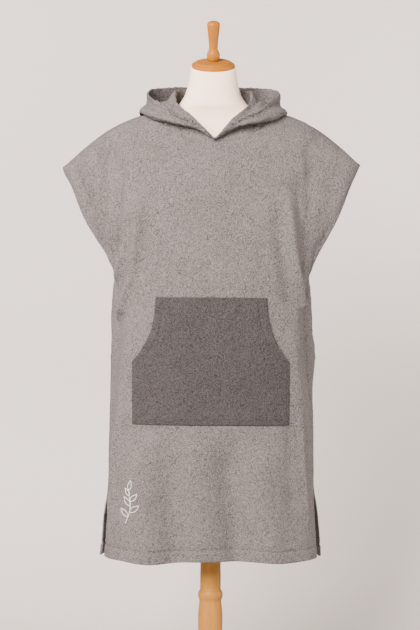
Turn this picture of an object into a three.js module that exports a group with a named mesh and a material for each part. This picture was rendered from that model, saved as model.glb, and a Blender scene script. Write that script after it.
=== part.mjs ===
// A hooded bath poncho of terry towelling, worn on a limbless dress form with a turned wooden stand.
// Millimetres, +Z up. The garment's front faces -Y, left is -X as seen from the front, the floor is z = 0.
import * as THREE from "three";

// Cloth thickness and the gaps left at seams
const BODY_CLOTH = 3;
const HOOD_CLOTH = 2.5;
const POCKET_CLOTH = 2.5;
const SEAM_GAP = 0.3;
const POCKET_GAP = 1.6;

// Heights along the side of the garment, and the neckline
const TIP_Z = 1254;
const UNDERARM_Z = 930;
const SLIT_TOP_Z = 496;
const HEM_Z = 337;
const NECK_POINT_Z = 1393;
const V_POINT_Z = 1312;

// Half the panel's width is a share of 1. The neckline takes the shares up to NECK_SHARE.
const NECK_SHARE = 0.33;
const NECK_COLUMNS = 7;
const SHOULDER_COLUMNS = 15;
const EDGE_CROWDING = 0.8;
const ROW_STRETCHES = [
  { fromZ: TIP_Z, toZ: UNDERARM_Z, steps: 8 },
  { fromZ: UNDERARM_Z, toZ: SLIT_TOP_Z, steps: 9 },
  { fromZ: SLIT_TOP_Z, toZ: HEM_Z, steps: 3 },
];

// The shoulder seam: which share of the panel's half width lies on it at each height
const SHOULDER = [
  { z: 1254, share: 1 },
  { z: 1300, share: 0.84 },
  { z: 1343, share: 0.68 },
  { z: 1368, share: 0.545 },
  { z: 1393, share: 0.33 },
];

// Level sections of the front: half width, where its side edge and its middle lie, and how round it is
const FRONT_SECTIONS = [
  { z: 337, width: 250, edgeX: 250, edgeY: 40, faceY: -103, round: 0.66 },
  { z: 505, width: 241, edgeX: 242, edgeY: 31, faceY: -113, round: 0.7 },
  { z: 600, width: 240, edgeX: 240, edgeY: 25, faceY: -119, round: 0.74 },
  { z: 668, width: 238, edgeX: 235, edgeY: 19, faceY: -123, round: 0.77 },
  { z: 742, width: 233, edgeX: 222, edgeY: 8, faceY: -126, round: 0.8 },
  { z: 818, width: 226, edgeX: 209, edgeY: -5, faceY: -128, round: 0.8 },
  { z: 900, width: 219, edgeX: 205, edgeY: -19, faceY: -129, round: 0.8 },
  { z: 930, width: 218, edgeX: 208, edgeY: -23, faceY: -129, round: 0.8 },
  { z: 1011, width: 231, edgeX: 231, edgeY: -42, faceY: -130, round: 0.84 },
  { z: 1130, width: 288, edgeX: 292, edgeY: -46, faceY: -130, round: 0.92 },
  { z: 1200, width: 320, edgeX: 324, edgeY: -27, faceY: -125, round: 0.96 },
  { z: 1254, width: 350, edgeX: 350, edgeY: 5, faceY: -114, round: 1 },
  { z: 1300, width: 299, edgeX: 299, edgeY: 5, faceY: -101, round: 1 },
  { z: 1343, width: 241, edgeX: 241, edgeY: 5, faceY: -87, round: 1 },
  { z: 1368, width: 189, edgeX: 189, edgeY: 5, faceY: -77, round: 1 },
  { z: 1393, width: 108, edgeX: 108, edgeY: 5, faceY: -66, round: 1 },
];

// Level sections of the back, which swells out behind the side seam under the arm
const BACK_SECTIONS = [
  { z: 337, width: 270, edgeX: 262, edgeY: 62, faceY: 142, round: 0.7 },
  { z: 430, width: 261, edgeX: 253, edgeY: 49, faceY: 139, round: 0.72 },
  { z: 505, width: 253, edgeX: 242, edgeY: 33, faceY: 136, round: 0.74 },
  { z: 600, width: 251, edgeX: 240, edgeY: 25, faceY: 131, round: 0.76 },
  { z: 668, width: 262, edgeX: 235, edgeY: 19, faceY: 128, round: 0.78 },
  { z: 742, width: 276, edgeX: 222, edgeY: 8, faceY: 125, round: 0.8 },
  { z: 818, width: 287, edgeX: 209, edgeY: -5, faceY: 122, round: 0.82 },
  { z: 900, width: 284, edgeX: 205, edgeY: -19, faceY: 119, round: 0.84 },
  { z: 930, width: 277, edgeX: 208, edgeY: -23, faceY: 118, round: 0.84 },
  { z: 1011, width: 250, edgeX: 230, edgeY: 34, faceY: 116, round: 0.86 },
  { z: 1130, width: 286, edgeX: 288, edgeY: 52, faceY: 112, round: 0.92 },
  { z: 1200, width: 316, edgeX: 320, edgeY: 37, faceY: 108, round: 0.96 },
  { z: 1254, width: 350, edgeX: 350, edgeY: 5, faceY: 104, round: 1 },
  { z: 1300, width: 299, edgeX: 299, edgeY: 5, faceY: 98, round: 1 },
  { z: 1343, width: 241, edgeX: 241, edgeY: 5, faceY: 91, round: 1 },
  { z: 1368, width: 189, edgeX: 189, edgeY: 5, faceY: 83, round: 1 },
  { z: 1393, width: 108, edgeX: 108, edgeY: 5, faceY: 72, round: 1 },
];

// Folds: each runs straight from its top to its end; a positive depth stands out, a negative one is a valley
const FRONT_FOLDS = [
  { topX: -211, topZ: 1275, endX: -231, endZ: 1020, depth: -9, width: 12 },
  { topX: -188, topZ: 1150, endX: -207, endZ: 960, depth: -15, width: 12 },
  { topX: -171, topZ: 1190, endX: -231, endZ: 720, depth: 15, width: 16 },
  { topX: -208, topZ: 720, endX: -233, endZ: 400, depth: 6, width: 24 },
  { topX: -157, topZ: 650, endX: -150, endZ: 200, depth: 15, width: 42 },
  { topX: -100, topZ: 650, endX: -80, endZ: 200, depth: -8, width: 32 },
  { topX: -36, topZ: 640, endX: -34, endZ: 250, depth: 5, width: 30 },
  { topX: 222, topZ: 1325, endX: 238, endZ: 1110, depth: -8, width: 15 },
  { topX: 195, topZ: 1275, endX: 205, endZ: 1000, depth: -12, width: 12 },
  { topX: 172, topZ: 1200, endX: 231, endZ: 740, depth: 14, width: 15 },
  { topX: 146, topZ: 1170, endX: 184, endZ: 880, depth: -8, width: 16 },
  { topX: 186, topZ: 900, endX: 211, endZ: 570, depth: 5, width: 20 },
  { topX: 36, topZ: 640, endX: 74, endZ: 200, depth: -20, width: 34 },
  { topX: 112, topZ: 640, endX: 152, endZ: 200, depth: 13, width: 36 },
  { topX: 181, topZ: 680, endX: 194, endZ: 420, depth: -8, width: 20 },
];
const BACK_FOLDS = [
  { topX: -196, topZ: 1270, endX: -222, endZ: 1000, depth: -12, width: 14 },
  { topX: -168, topZ: 1220, endX: -226, endZ: 700, depth: 13, width: 17 },
  { topX: -136, topZ: 1120, endX: -176, endZ: 820, depth: -8, width: 18 },
  { topX: -150, topZ: 760, endX: -172, endZ: 200, depth: -12, width: 32 },
  { topX: -92, topZ: 820, endX: -104, endZ: 200, depth: 14, width: 38 },
  { topX: -18, topZ: 700, endX: -30, endZ: 200, depth: -13, width: 34 },
  { topX: 54, topZ: 760, endX: 62, endZ: 200, depth: 12, width: 36 },
  { topX: 204, topZ: 1265, endX: 224, endZ: 1010, depth: -11, width: 13 },
  { topX: 170, topZ: 1210, endX: 228, endZ: 720, depth: 14, width: 16 },
  { topX: 142, topZ: 1080, endX: 186, endZ: 800, depth: -8, width: 18 },
  { topX: 132, topZ: 720, endX: 146, endZ: 200, depth: -13, width: 32 },
  { topX: 194, topZ: 700, endX: 210, endZ: 200, depth: 9, width: 28 },
];
const FOLD_FADE = 0.22;

// The hood, let down: at each angle from the V (0) to the centre back (180) its cloth rises from the neck seam
// to a crest by the neck, drops over a floor to the bag's bottom, and rises by its outer swell and a waist to
// the rim
const HOOD_SECTIONS = [
  { angle: 0, crestR: 100.5, crestZ: 1316, floorR: 103, floorZ: 1315, bottomR: 106, bottomZ: 1313.5,
    swellR: 108, swellZ: 1314, waistR: 109, waistZ: 1315, rimR: 109.5, rimZ: 1316.5 },
  { angle: 27, crestR: 103, crestZ: 1360, floorR: 113, floorZ: 1353, bottomR: 120, bottomZ: 1339,
    swellR: 125, swellZ: 1342, waistR: 125.5, waistZ: 1346, rimR: 124, rimZ: 1350 },
  { angle: 45, crestR: 103, crestZ: 1382, floorR: 121, floorZ: 1372, bottomR: 138, bottomZ: 1352,
    swellR: 146, swellZ: 1357, waistR: 146, waistZ: 1365, rimR: 143, rimZ: 1373 },
  { angle: 62, crestR: 97, crestZ: 1402, floorR: 124, floorZ: 1397, bottomR: 153, bottomZ: 1363,
    swellR: 162, swellZ: 1371, waistR: 157, waistZ: 1383, rimR: 151, rimZ: 1393 },
  { angle: 85, crestR: 92, crestZ: 1427, floorR: 127, floorZ: 1409, bottomR: 156, bottomZ: 1384,
    swellR: 170, swellZ: 1384, waistR: 158, waistZ: 1399, rimR: 151, rimZ: 1421 },
  { angle: 105, crestR: 91, crestZ: 1432, floorR: 125, floorZ: 1397, bottomR: 166, bottomZ: 1373,
    swellR: 178, swellZ: 1382, waistR: 166, waistZ: 1400, rimR: 160, rimZ: 1431 },
  { angle: 125, crestR: 92, crestZ: 1434, floorR: 120, floorZ: 1378, bottomR: 170, bottomZ: 1332,
    swellR: 187, swellZ: 1364, waistR: 180, waistZ: 1398, rimR: 168, rimZ: 1447 },
  { angle: 150, crestR: 92, crestZ: 1437, floorR: 114, floorZ: 1362, bottomR: 149, bottomZ: 1288,
    swellR: 184, swellZ: 1352, waistR: 181, waistZ: 1402, rimR: 168, rimZ: 1456 },
  { angle: 180, crestR: 91, crestZ: 1439, floorR: 111, floorZ: 1354, bottomR: 142, bottomZ: 1272,
    swellR: 182, swellZ: 1344, waistR: 180, waistZ: 1400, rimR: 166, rimZ: 1459.5 },
];
const HOOD_STEPS = [3, 3, 3, 3, 2, 3];

// The kangaroo pocket: a straight-sided lower half under two concave hand openings
const POCKET = { middleX: -2, topZ: 945, bendZ: 850, cornerZ: 797, bottomZ: 653, topHalf: 127, bottomHalf: 180 };
const POCKET_BILLOW = 2.4;
const POCKET_COLUMNS = 16;
const POCKET_ROWS = 9;

// The dress form: level sections with half width, front and back depth, and the forward tilt of the section
const FORM_SECTIONS = [
  { z: 720, width: 158, front: 88, back: 92, tilt: 0 },
  { z: 735, width: 168, front: 96, back: 100, tilt: 0 },
  { z: 800, width: 172, front: 100, back: 104, tilt: 0 },
  { z: 900, width: 160, front: 96, back: 92, tilt: 0 },
  { z: 1030, width: 134, front: 90, back: 82, tilt: 0 },
  { z: 1120, width: 148, front: 104, back: 88, tilt: 0 },
  { z: 1190, width: 162, front: 108, back: 90, tilt: 0 },
  { z: 1270, width: 184, front: 90, back: 84, tilt: 0 },
  { z: 1320, width: 199.5, front: 66, back: 72, tilt: 0 },
  { z: 1345, width: 182.5, front: 54, back: 62, tilt: 0 },
  { z: 1364.4, width: 149, front: 48, back: 58, tilt: 0 },
  { z: 1381, width: 103, front: 50, back: 57, tilt: 2 },
  { z: 1400, width: 80, front: 56, back: 57, tilt: 5 },
  { z: 1424, width: 65, front: 55, back: 55, tilt: 10 },
  { z: 1455, width: 57, front: 53, back: 53, tilt: 16 },
  { z: 1487, width: 53, front: 51, back: 51, tilt: 20 },
];
const FORM_SEGMENTS = 32;
const FORM_ROUND = 0.9;
const NECK_TILT = 20;

// Turned wood: radius and height along each profile, heights from the piece's own foot
const CAP_PROFILE = [
  { r: 50, z: 0 },
  { r: 51, z: 2 },
  { r: 51, z: 6 },
  { r: 49.5, z: 8 },
  { r: 45, z: 9 },
  { r: 43.5, z: 12 },
  { r: 38, z: 14 },
  { r: 14, z: 15 },
];
const HANDLE_PROFILE = [
  { r: 12, z: 0 },
  { r: 14.8, z: 5 },
  { r: 15.7, z: 12 },
  { r: 14.8, z: 19 },
  { r: 10.8, z: 25.5 },
  { r: 10.2, z: 33 },
  { r: 11.8, z: 52 },
  { r: 13.6, z: 69 },
  { r: 15.3, z: 83 },
  { r: 15, z: 88 },
  { r: 12.6, z: 92 },
  { r: 6, z: 94 },
];
const POST_PROFILE = [
  { r: 27, z: 28 },
  { r: 28.6, z: 164 },
  { r: 29.2, z: 195 },
  { r: 28, z: 216 },
  { r: 25.4, z: 234 },
  { r: 27.4, z: 239 },
  { r: 29.2, z: 245 },
  { r: 29.2, z: 251 },
  { r: 27.4, z: 257 },
  { r: 24, z: 260 },
  { r: 24.6, z: 290 },
  { r: 23.6, z: 330 },
  { r: 23.6, z: 719.4 },
];
const BASE_PROFILE = [
  { r: 188, z: 0 },
  { r: 190, z: 3 },
  { r: 190, z: 14 },
  { r: 186, z: 20 },
  { r: 178, z: 23 },
  { r: 172, z: 28 },
];
const TURNED_SEGMENTS = 32;
const BASE_SEGMENTS = 48;

const MATERIALS = {
  terry: { color: 0xa99f9b, roughness: 0.95, metalness: 0 },
  darkTerry: { color: 0x766c6a, roughness: 0.95, metalness: 0 },
  formCover: { color: 0xebe4dd, roughness: 0.8, metalness: 0 },
  wood: { color: 0xd09b63, roughness: 0.5, metalness: 0 },
};

const smoothStep = (t) => THREE.MathUtils.smoothstep(t, 0, 1);

// The slope of one column at a row: the harmonic mean of its neighbours' slopes, or none at a turning point
function columnSlope(rows, key, column, index) {
  const rise = (i) => (rows[i + 1][column] - rows[i][column]) / (rows[i + 1][key] - rows[i][key]);
  if (index === 0) return rise(0);
  if (index === rows.length - 1) return rise(index - 1);
  const before = rise(index - 1);
  const after = rise(index);
  return before * after <= 0 ? 0 : (2 * before * after) / (before + after);
}

// A table read between its rows: every named column follows a smooth cubic that never overshoots its rows
function readTable(rows, key, value) {
  const at = THREE.MathUtils.clamp(value, rows[0][key], rows[rows.length - 1][key]);
  const next = Math.max(1, rows.findIndex((row) => row[key] >= at));
  const low = rows[next - 1];
  const high = rows[next];
  const span = high[key] - low[key];
  const t = (at - low[key]) / span;
  const result = {};
  for (const column of Object.keys(low)) {
    const lowSlope = columnSlope(rows, key, column, next - 1) * span;
    const highSlope = columnSlope(rows, key, column, next) * span;
    const rest = low[column] * (2 * t ** 3 - 3 * t ** 2 + 1) + high[column] * (3 * t ** 2 - 2 * t ** 3);
    result[column] = rest + lowSlope * (t ** 3 - 2 * t ** 2 + t) + highSlope * (t ** 3 - t ** 2);
  }
  return result;
}

// Half of a level section, from the middle of the panel to its side edge: a superellipse whose end is drawn
// to the edge point by the fifth power of its length
const SECTION_STEPS = 64;
const EDGE_POWER = 5;
function halfSection(sections, z) {
  const row = readTable(sections, "z", z);
  const points = [];
  for (let i = 0; i <= SECTION_STEPS; i++) {
    const turn = (i / SECTION_STEPS) * (Math.PI / 2);
    const x = row.width * Math.sin(turn) ** row.round;
    const y = row.edgeY + (row.faceY - row.edgeY) * Math.max(0, Math.cos(turn)) ** row.round;
    points.push(new THREE.Vector2(x, y));
  }
  const lengths = [0];
  for (let i = 1; i <= SECTION_STEPS; i++) lengths.push(lengths[i - 1] + points[i].distanceTo(points[i - 1]));
  const total = lengths[SECTION_STEPS];
  const pull = row.edgeX - row.width;
  points.forEach((point, i) => {
    point.x += pull * (lengths[i] / total) ** EDGE_POWER;
  });
  return { points, lengths, total };
}

// Where along the half section a value is reached, counted in steps and parts of a step
function stepAt(values, value) {
  const next = values.findIndex((v) => v >= value);
  if (next < 0) return values.length - 1;
  if (next === 0) return 0;
  return next - 1 + (value - values[next - 1]) / (values[next] - values[next - 1]);
}

function lengthAtX(section, x) {
  const step = stepAt(section.points.map((point) => point.x), x);
  const whole = Math.min(Math.floor(step), SECTION_STEPS - 1);
  return THREE.MathUtils.lerp(section.lengths[whole], section.lengths[whole + 1], step - whole);
}

// How strong a fold is at a height: it fades in over its top end and out over its lower end
function foldStrength(fold, z) {
  const along = (fold.topZ - z) / (fold.topZ - fold.endZ);
  if (along <= 0 || along >= 1) return 0;
  return smoothStep(along / FOLD_FADE) * smoothStep((1 - along) / FOLD_FADE);
}

// A point of a body panel: share runs from -1 at the left edge to 1 at the right edge
const EDGE_CALM = 0.05;
function bodyPoint(panel, share, z) {
  const side = share < 0 ? -1 : 1;
  const section = halfSection(panel.sections, z);
  const fraction = Math.min(1, Math.abs(share) / readTable(SHOULDER, "z", z).share);
  const length = fraction * section.total;
  const step = Math.min(stepAt(section.lengths, length), SECTION_STEPS - 1e-6);
  const whole = Math.floor(step);
  const from = section.points[whole];
  const to = section.points[whole + 1];
  const point = from.clone().lerp(to, step - whole);
  const outward = new THREE.Vector2(from.y - to.y, to.x - from.x).normalize();
  if (panel.facing < 0) outward.negate();
  let push = 0;
  for (const fold of panel.folds) {
    const strength = foldStrength(fold, z);
    if (strength === 0) continue;
    const along = (fold.topZ - z) / (fold.topZ - fold.endZ);
    const foldX = THREE.MathUtils.lerp(fold.topX, fold.endX, along);
    const foldLength = Math.sign(foldX) * lengthAtX(section, Math.abs(foldX));
    const away = (side * length - foldLength) / fold.width;
    push += fold.depth * strength * Math.exp(-away * away);
  }
  push *= smoothStep((1 - fraction) / EDGE_CALM);
  point.addScaledVector(outward, push);
  return new THREE.Vector3(side * point.x, point.y + (panel.facing * SEAM_GAP) / 2, z);
}

// The height of the panel's top edge: the neckline up to NECK_SHARE, the shoulder seam beyond it
function topHeight(panel, share) {
  const wide = Math.abs(share);
  if (wide < NECK_SHARE) return THREE.MathUtils.lerp(panel.neckZ, NECK_POINT_Z, wide / NECK_SHARE);
  let low = TIP_Z;
  let high = NECK_POINT_Z;
  for (let i = 0; i < 40; i++) {
    const middle = (low + high) / 2;
    if (readTable(SHOULDER, "z", middle).share > wide) low = middle;
    else high = middle;
  }
  return (low + high) / 2;
}

// Columns crowd towards the side edges, where the cloth folds most
function columnShares() {
  const half = [];
  for (let i = 0; i <= NECK_COLUMNS; i++) half.push((NECK_SHARE * i) / NECK_COLUMNS);
  for (let i = 1; i <= SHOULDER_COLUMNS; i++) {
    half.push(NECK_SHARE + (1 - NECK_SHARE) * (i / SHOULDER_COLUMNS) ** EDGE_CROWDING);
  }
  return [...half.slice(1).reverse().map((share) => -share), ...half];
}

function rowFractions() {
  const rows = [0];
  for (const { fromZ, toZ, steps } of ROW_STRETCHES) {
    for (let i = 1; i <= steps; i++) {
      const z = THREE.MathUtils.lerp(fromZ, toZ, i / steps);
      rows.push((TIP_Z - z) / (TIP_Z - HEM_Z));
    }
  }
  return rows;
}

function bodyGrid(panel) {
  const shares = columnShares();
  return rowFractions().map((row) =>
    shares.map((share) => {
      const top = topHeight(panel, share);
      return bodyPoint(panel, share, THREE.MathUtils.lerp(top, HEM_Z, row));
    }),
  );
}

// Unit normals of a grid, across its columns and down its rows, turned outwards by the sign
function gridNormals(grid, sign) {
  const lastRow = grid.length - 1;
  const lastColumn = grid[0].length - 1;
  return grid.map((line, r) =>
    line.map((_, c) => {
      const across = grid[r][Math.min(c + 1, lastColumn)].clone().sub(grid[r][Math.max(c - 1, 0)]);
      const down = grid[Math.min(r + 1, lastRow)][c].clone().sub(grid[Math.max(r - 1, 0)][c]);
      return across.cross(down).normalize().multiplyScalar(sign);
    }),
  );
}

function movedAlong(grid, normals, distance) {
  return grid.map((line, r) => line.map((point, c) => point.clone().addScaledVector(normals[r][c], distance)));
}

// A closed wall: an outer and an inner grid of points, and strips that join them round the four edges. From
// the mirror column on, the quads are cut along their other diagonal, so both sides of a panel fold alike.
function wallGeometry(outer, inner, sign, mirrorColumn) {
  const rows = outer.length;
  const columns = outer[0].length;
  const positions = [...outer.flat(), ...inner.flat()].flatMap((point) => point.toArray());
  const innerStart = rows * columns;
  const triangles = [];
  for (let r = 0; r < rows - 1; r++) {
    for (let c = 0; c < columns - 1; c++) {
      const a = r * columns + c;
      const b = a + 1;
      const d = a + columns;
      const e = d + 1;
      const halves = c < mirrorColumn ? [[a, b, d], [b, e, d]] : [[a, b, e], [a, e, d]];
      triangles.push(...halves);
      triangles.push(...halves.map(([i, j, k]) => [i + innerStart, k + innerStart, j + innerStart]));
    }
  }
  const loop = [];
  for (let c = 0; c < columns - 1; c++) loop.push(c);
  for (let r = 0; r < rows - 1; r++) loop.push(r * columns + columns - 1);
  for (let c = columns - 1; c > 0; c--) loop.push((rows - 1) * columns + c);
  for (let r = rows - 1; r > 0; r--) loop.push(r * columns);
  loop.forEach((a, i) => {
    const b = loop[(i + 1) % loop.length];
    triangles.push([b, a, a + innerStart], [b, a + innerStart, b + innerStart]);
  });
  const geometry = new THREE.BufferGeometry();
  geometry.setAttribute("position", new THREE.Float32BufferAttribute(positions, 3));
  geometry.setIndex(triangles.flatMap((t) => (sign > 0 ? t : [t[0], t[2], t[1]])));
  geometry.computeVertexNormals();
  return geometry;
}

// Front and back share the direction of their wall along the seams, so their cut edges lie face to face
const MITRE_LIMIT = 0.6;
function bodyWalls(front, back) {
  const grids = [bodyGrid(front), bodyGrid(back)];
  const normals = [gridNormals(grids[0], -1), gridNormals(grids[1], 1)];
  const shares = columnShares();
  const fractions = rowFractions();
  const isSewn = (r, c) => {
    const z = THREE.MathUtils.lerp(TIP_Z, HEM_Z, fractions[r]);
    const onSide = c === 0 || c === shares.length - 1;
    const onShoulder = r === 0 && Math.abs(shares[c]) > NECK_SHARE - 1e-6;
    return onShoulder || (onSide && z < UNDERARM_Z + 1e-6 && z > SLIT_TOP_Z - 1e-6);
  };
  return grids.map((grid, which) => {
    const inner = grid.map((line, r) =>
      line.map((point, c) => {
        const own = normals[which][r][c];
        if (!isSewn(r, c)) return point.clone().addScaledVector(own, -BODY_CLOTH);
        const shared = own.clone().add(normals[1 - which][r][c]).normalize();
        const depth = BODY_CLOTH / Math.max(MITRE_LIMIT, shared.dot(own));
        return point.clone().addScaledVector(shared, -depth);
      }),
    );
    return wallGeometry(grid, inner, which === 0 ? -1 : 1, shares.indexOf(0));
  });
}

// A smooth curve through control points, with the span between two of them cut into that span's steps
function curveThrough(points, steps) {
  const slope = (i) => {
    const before = points[Math.max(i - 1, 0)];
    const after = points[Math.min(i + 1, points.length - 1)];
    return after.clone().sub(before).multiplyScalar(0.5);
  };
  const result = [points[0].clone()];
  steps.forEach((count, i) => {
    for (let k = 1; k <= count; k++) {
      const t = k / count;
      const point = points[i].clone().multiplyScalar(2 * t ** 3 - 3 * t ** 2 + 1);
      point.addScaledVector(points[i + 1], 3 * t ** 2 - 2 * t ** 3);
      point.addScaledVector(slope(i), t ** 3 - 2 * t ** 2 + t);
      point.addScaledVector(slope(i + 1), t ** 3 - t ** 2);
      result.push(point);
    }
  });
  return result;
}

// The points of the neck seam on one side, from the V to the centre back, on the panels' own edge points
function neckSeam(front, back, side) {
  const shares = columnShares().filter((share) => share >= 0 && share < NECK_SHARE + 1e-6);
  const forward = shares.map((share) => bodyPoint(front, side * share, topHeight(front, share)));
  const behind = shares.map((share) => bodyPoint(back, side * share, topHeight(back, share))).reverse();
  return [...forward, ...behind.slice(1)];
}

function hoodGrid(front, back, side) {
  return neckSeam(front, back, side).map((seam) => {
    const radius = Math.hypot(seam.x, seam.y);
    const angle = Math.atan2(Math.abs(seam.x), -seam.y);
    const row = readTable(HOOD_SECTIONS, "angle", THREE.MathUtils.radToDeg(angle));
    const profile = curveThrough(
      [
        new THREE.Vector2(radius, seam.z + SEAM_GAP),
        new THREE.Vector2(row.crestR, row.crestZ),
        new THREE.Vector2(row.floorR, row.floorZ),
        new THREE.Vector2(row.bottomR, row.bottomZ),
        new THREE.Vector2(row.swellR, row.swellZ),
        new THREE.Vector2(row.waistR, row.waistZ),
        new THREE.Vector2(row.rimR, row.rimZ),
      ],
      HOOD_STEPS,
    );
    return profile.map(({ x: r, y: z }) => {
      const x = side * (r * Math.sin(angle) + SEAM_GAP / 2);
      return new THREE.Vector3(x, -r * Math.cos(angle), z);
    });
  });
}

function hoodGeometry(front, back, side) {
  const outer = hoodGrid(front, back, side);
  const sign = side > 0 ? 1 : -1;
  const normals = gridNormals(outer, sign);
  for (const line of [normals[0], normals[normals.length - 1]]) {
    line.forEach((normal) => normal.setX(0).normalize());
  }
  const inner = movedAlong(outer, normals, -HOOD_CLOTH);
  return wallGeometry(outer, inner, sign, outer[0].length);
}

// The pocket's half width at a height: straight at the foot, then the hand opening's curve, a quadratic Bezier
// that leaves the top corner straight down and is solved for its parameter at the height
function pocketHalf(z) {
  if (z <= POCKET.cornerZ) return POCKET.bottomHalf;
  const bend = POCKET.topZ - 2 * POCKET.bendZ + POCKET.cornerZ;
  const fall = 2 * (POCKET.topZ - POCKET.bendZ);
  const t = (fall - Math.sqrt(fall ** 2 - 4 * bend * (POCKET.topZ - z))) / (2 * bend);
  return POCKET.topHalf + (POCKET.bottomHalf - POCKET.topHalf) * t ** 2;
}

// The panel's point in front of a given place, found by halving the share
function panelPointAt(panel, x, z) {
  let low = -1;
  let high = 1;
  for (let i = 0; i < 40; i++) {
    const middle = (low + high) / 2;
    if (bodyPoint(panel, middle, z).x < x) low = middle;
    else high = middle;
  }
  return bodyPoint(panel, (low + high) / 2, z);
}

function pocketGeometry(front) {
  const base = [];
  const rise = [];
  for (let r = 0; r <= POCKET_ROWS; r++) {
    const down = r / POCKET_ROWS;
    const z = THREE.MathUtils.lerp(POCKET.topZ, POCKET.bottomZ, down);
    const line = [];
    const lifts = [];
    for (let c = 0; c <= POCKET_COLUMNS; c++) {
      const across = (2 * c) / POCKET_COLUMNS - 1;
      line.push(panelPointAt(front, POCKET.middleX + across * pocketHalf(z), z));
      lifts.push(POCKET_GAP + POCKET_BILLOW * Math.sin(Math.PI * down) * smoothStep(1.4 * (1 - down)));
    }
    base.push(line);
    rise.push(lifts);
  }
  const normals = gridNormals(base, -1);
  const lifted = (extra) =>
    base.map((line, r) =>
      line.map((point, c) => point.clone().addScaledVector(normals[r][c], rise[r][c] + extra)),
    );
  return wallGeometry(lifted(POCKET_CLOTH), lifted(0), -1, POCKET_COLUMNS / 2);
}

// Rings from the foot up, closed by a fan at each end
function loftGeometry(rings) {
  const segments = rings[0].length;
  const middle = (ring) => ring.reduce((sum, point) => sum.add(point), new THREE.Vector3()).divideScalar(segments);
  const points = [...rings.flat(), middle(rings[0]), middle(rings[rings.length - 1])];
  const foot = points.length - 2;
  const top = points.length - 1;
  const triangles = [];
  for (let i = 0; i < segments; i++) {
    const j = (i + 1) % segments;
    const last = (rings.length - 1) * segments;
    for (let r = 0; r < rings.length - 1; r++) {
      const low = r * segments;
      const high = low + segments;
      triangles.push(low + i, low + j, high + j, low + i, high + j, high + i);
    }
    triangles.push(foot, j, i, top, last + i, last + j);
  }
  const geometry = new THREE.BufferGeometry();
  geometry.setAttribute("position", new THREE.Float32BufferAttribute(points.flatMap((p) => p.toArray()), 3));
  geometry.setIndex(triangles);
  geometry.computeVertexNormals();
  return geometry;
}

function formGeometry() {
  const rings = FORM_SECTIONS.map((row) => {
    const slope = Math.tan(THREE.MathUtils.degToRad(row.tilt));
    const ring = [];
    for (let i = 0; i < FORM_SEGMENTS; i++) {
      const turn = (i / FORM_SEGMENTS) * 2 * Math.PI;
      const x = row.width * Math.sign(Math.cos(turn)) * Math.abs(Math.cos(turn)) ** FORM_ROUND;
      const deep = Math.sin(turn) < 0 ? row.front : row.back;
      const y = deep * Math.sign(Math.sin(turn)) * Math.abs(Math.sin(turn)) ** FORM_ROUND;
      ring.push(new THREE.Vector3(x, y, row.z + y * slope));
    }
    return ring;
  });
  return loftGeometry(rings);
}

// A turned piece: its profile is closed on the axis at the foot and at the top
function turnedGeometry(profile, segments) {
  const foot = new THREE.Vector2(0, profile[0].z);
  const top = new THREE.Vector2(0, profile[profile.length - 1].z);
  const outline = [foot, ...profile.map(({ r, z }) => new THREE.Vector2(r, z)), top];
  return new THREE.LatheGeometry(outline, segments).rotateX(Math.PI / 2);
}

const group = new THREE.Group();
function addPiece(parent, name, geometry, finish) {
  const mesh = new THREE.Mesh(geometry, new THREE.MeshStandardMaterial(MATERIALS[finish]));
  mesh.name = name;
  parent.add(mesh);
  return mesh;
}

const front = { sections: FRONT_SECTIONS, folds: FRONT_FOLDS, facing: -1, neckZ: V_POINT_Z };
const back = { sections: BACK_SECTIONS, folds: BACK_FOLDS, facing: 1, neckZ: NECK_POINT_Z };
const [frontGeometry, backGeometry] = bodyWalls(front, back);
addPiece(group, "front_panel", frontGeometry, "terry");
addPiece(group, "back_panel", backGeometry, "terry");
addPiece(group, "hood_left", hoodGeometry(front, back, -1), "terry");
addPiece(group, "hood_right", hoodGeometry(front, back, 1), "terry");
addPiece(group, "pocket", pocketGeometry(front), "darkTerry");
addPiece(group, "form_torso", formGeometry(), "formCover");

// The cap and its handle stand square on the neck's tilted top
const neckTop = new THREE.Group();
neckTop.position.z = FORM_SECTIONS[FORM_SECTIONS.length - 1].z;
neckTop.rotation.x = THREE.MathUtils.degToRad(NECK_TILT);
group.add(neckTop);
addPiece(neckTop, "neck_cap", turnedGeometry(CAP_PROFILE, TURNED_SEGMENTS), "wood").position.z = SEAM_GAP;
const handleFoot = 2 * SEAM_GAP + CAP_PROFILE[CAP_PROFILE.length - 1].z;
addPiece(neckTop, "cap_handle", turnedGeometry(HANDLE_PROFILE, TURNED_SEGMENTS), "wood").position.z = handleFoot;

addPiece(group, "stand_post", turnedGeometry(POST_PROFILE, TURNED_SEGMENTS), "wood").position.z = SEAM_GAP;
addPiece(group, "stand_base", turnedGeometry(BASE_PROFILE, BASE_SEGMENTS), "wood");

export default group;
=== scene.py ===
"""A hooded bath poncho of terry towelling on a limbless dress form with a turned wooden stand.

Lengths in the tables are millimetres in the frame's own axes: +Z up, the garment's front towards -Y,
left is -X as seen from the front. Meshes are written in metres."""

from functools import lru_cache

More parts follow.
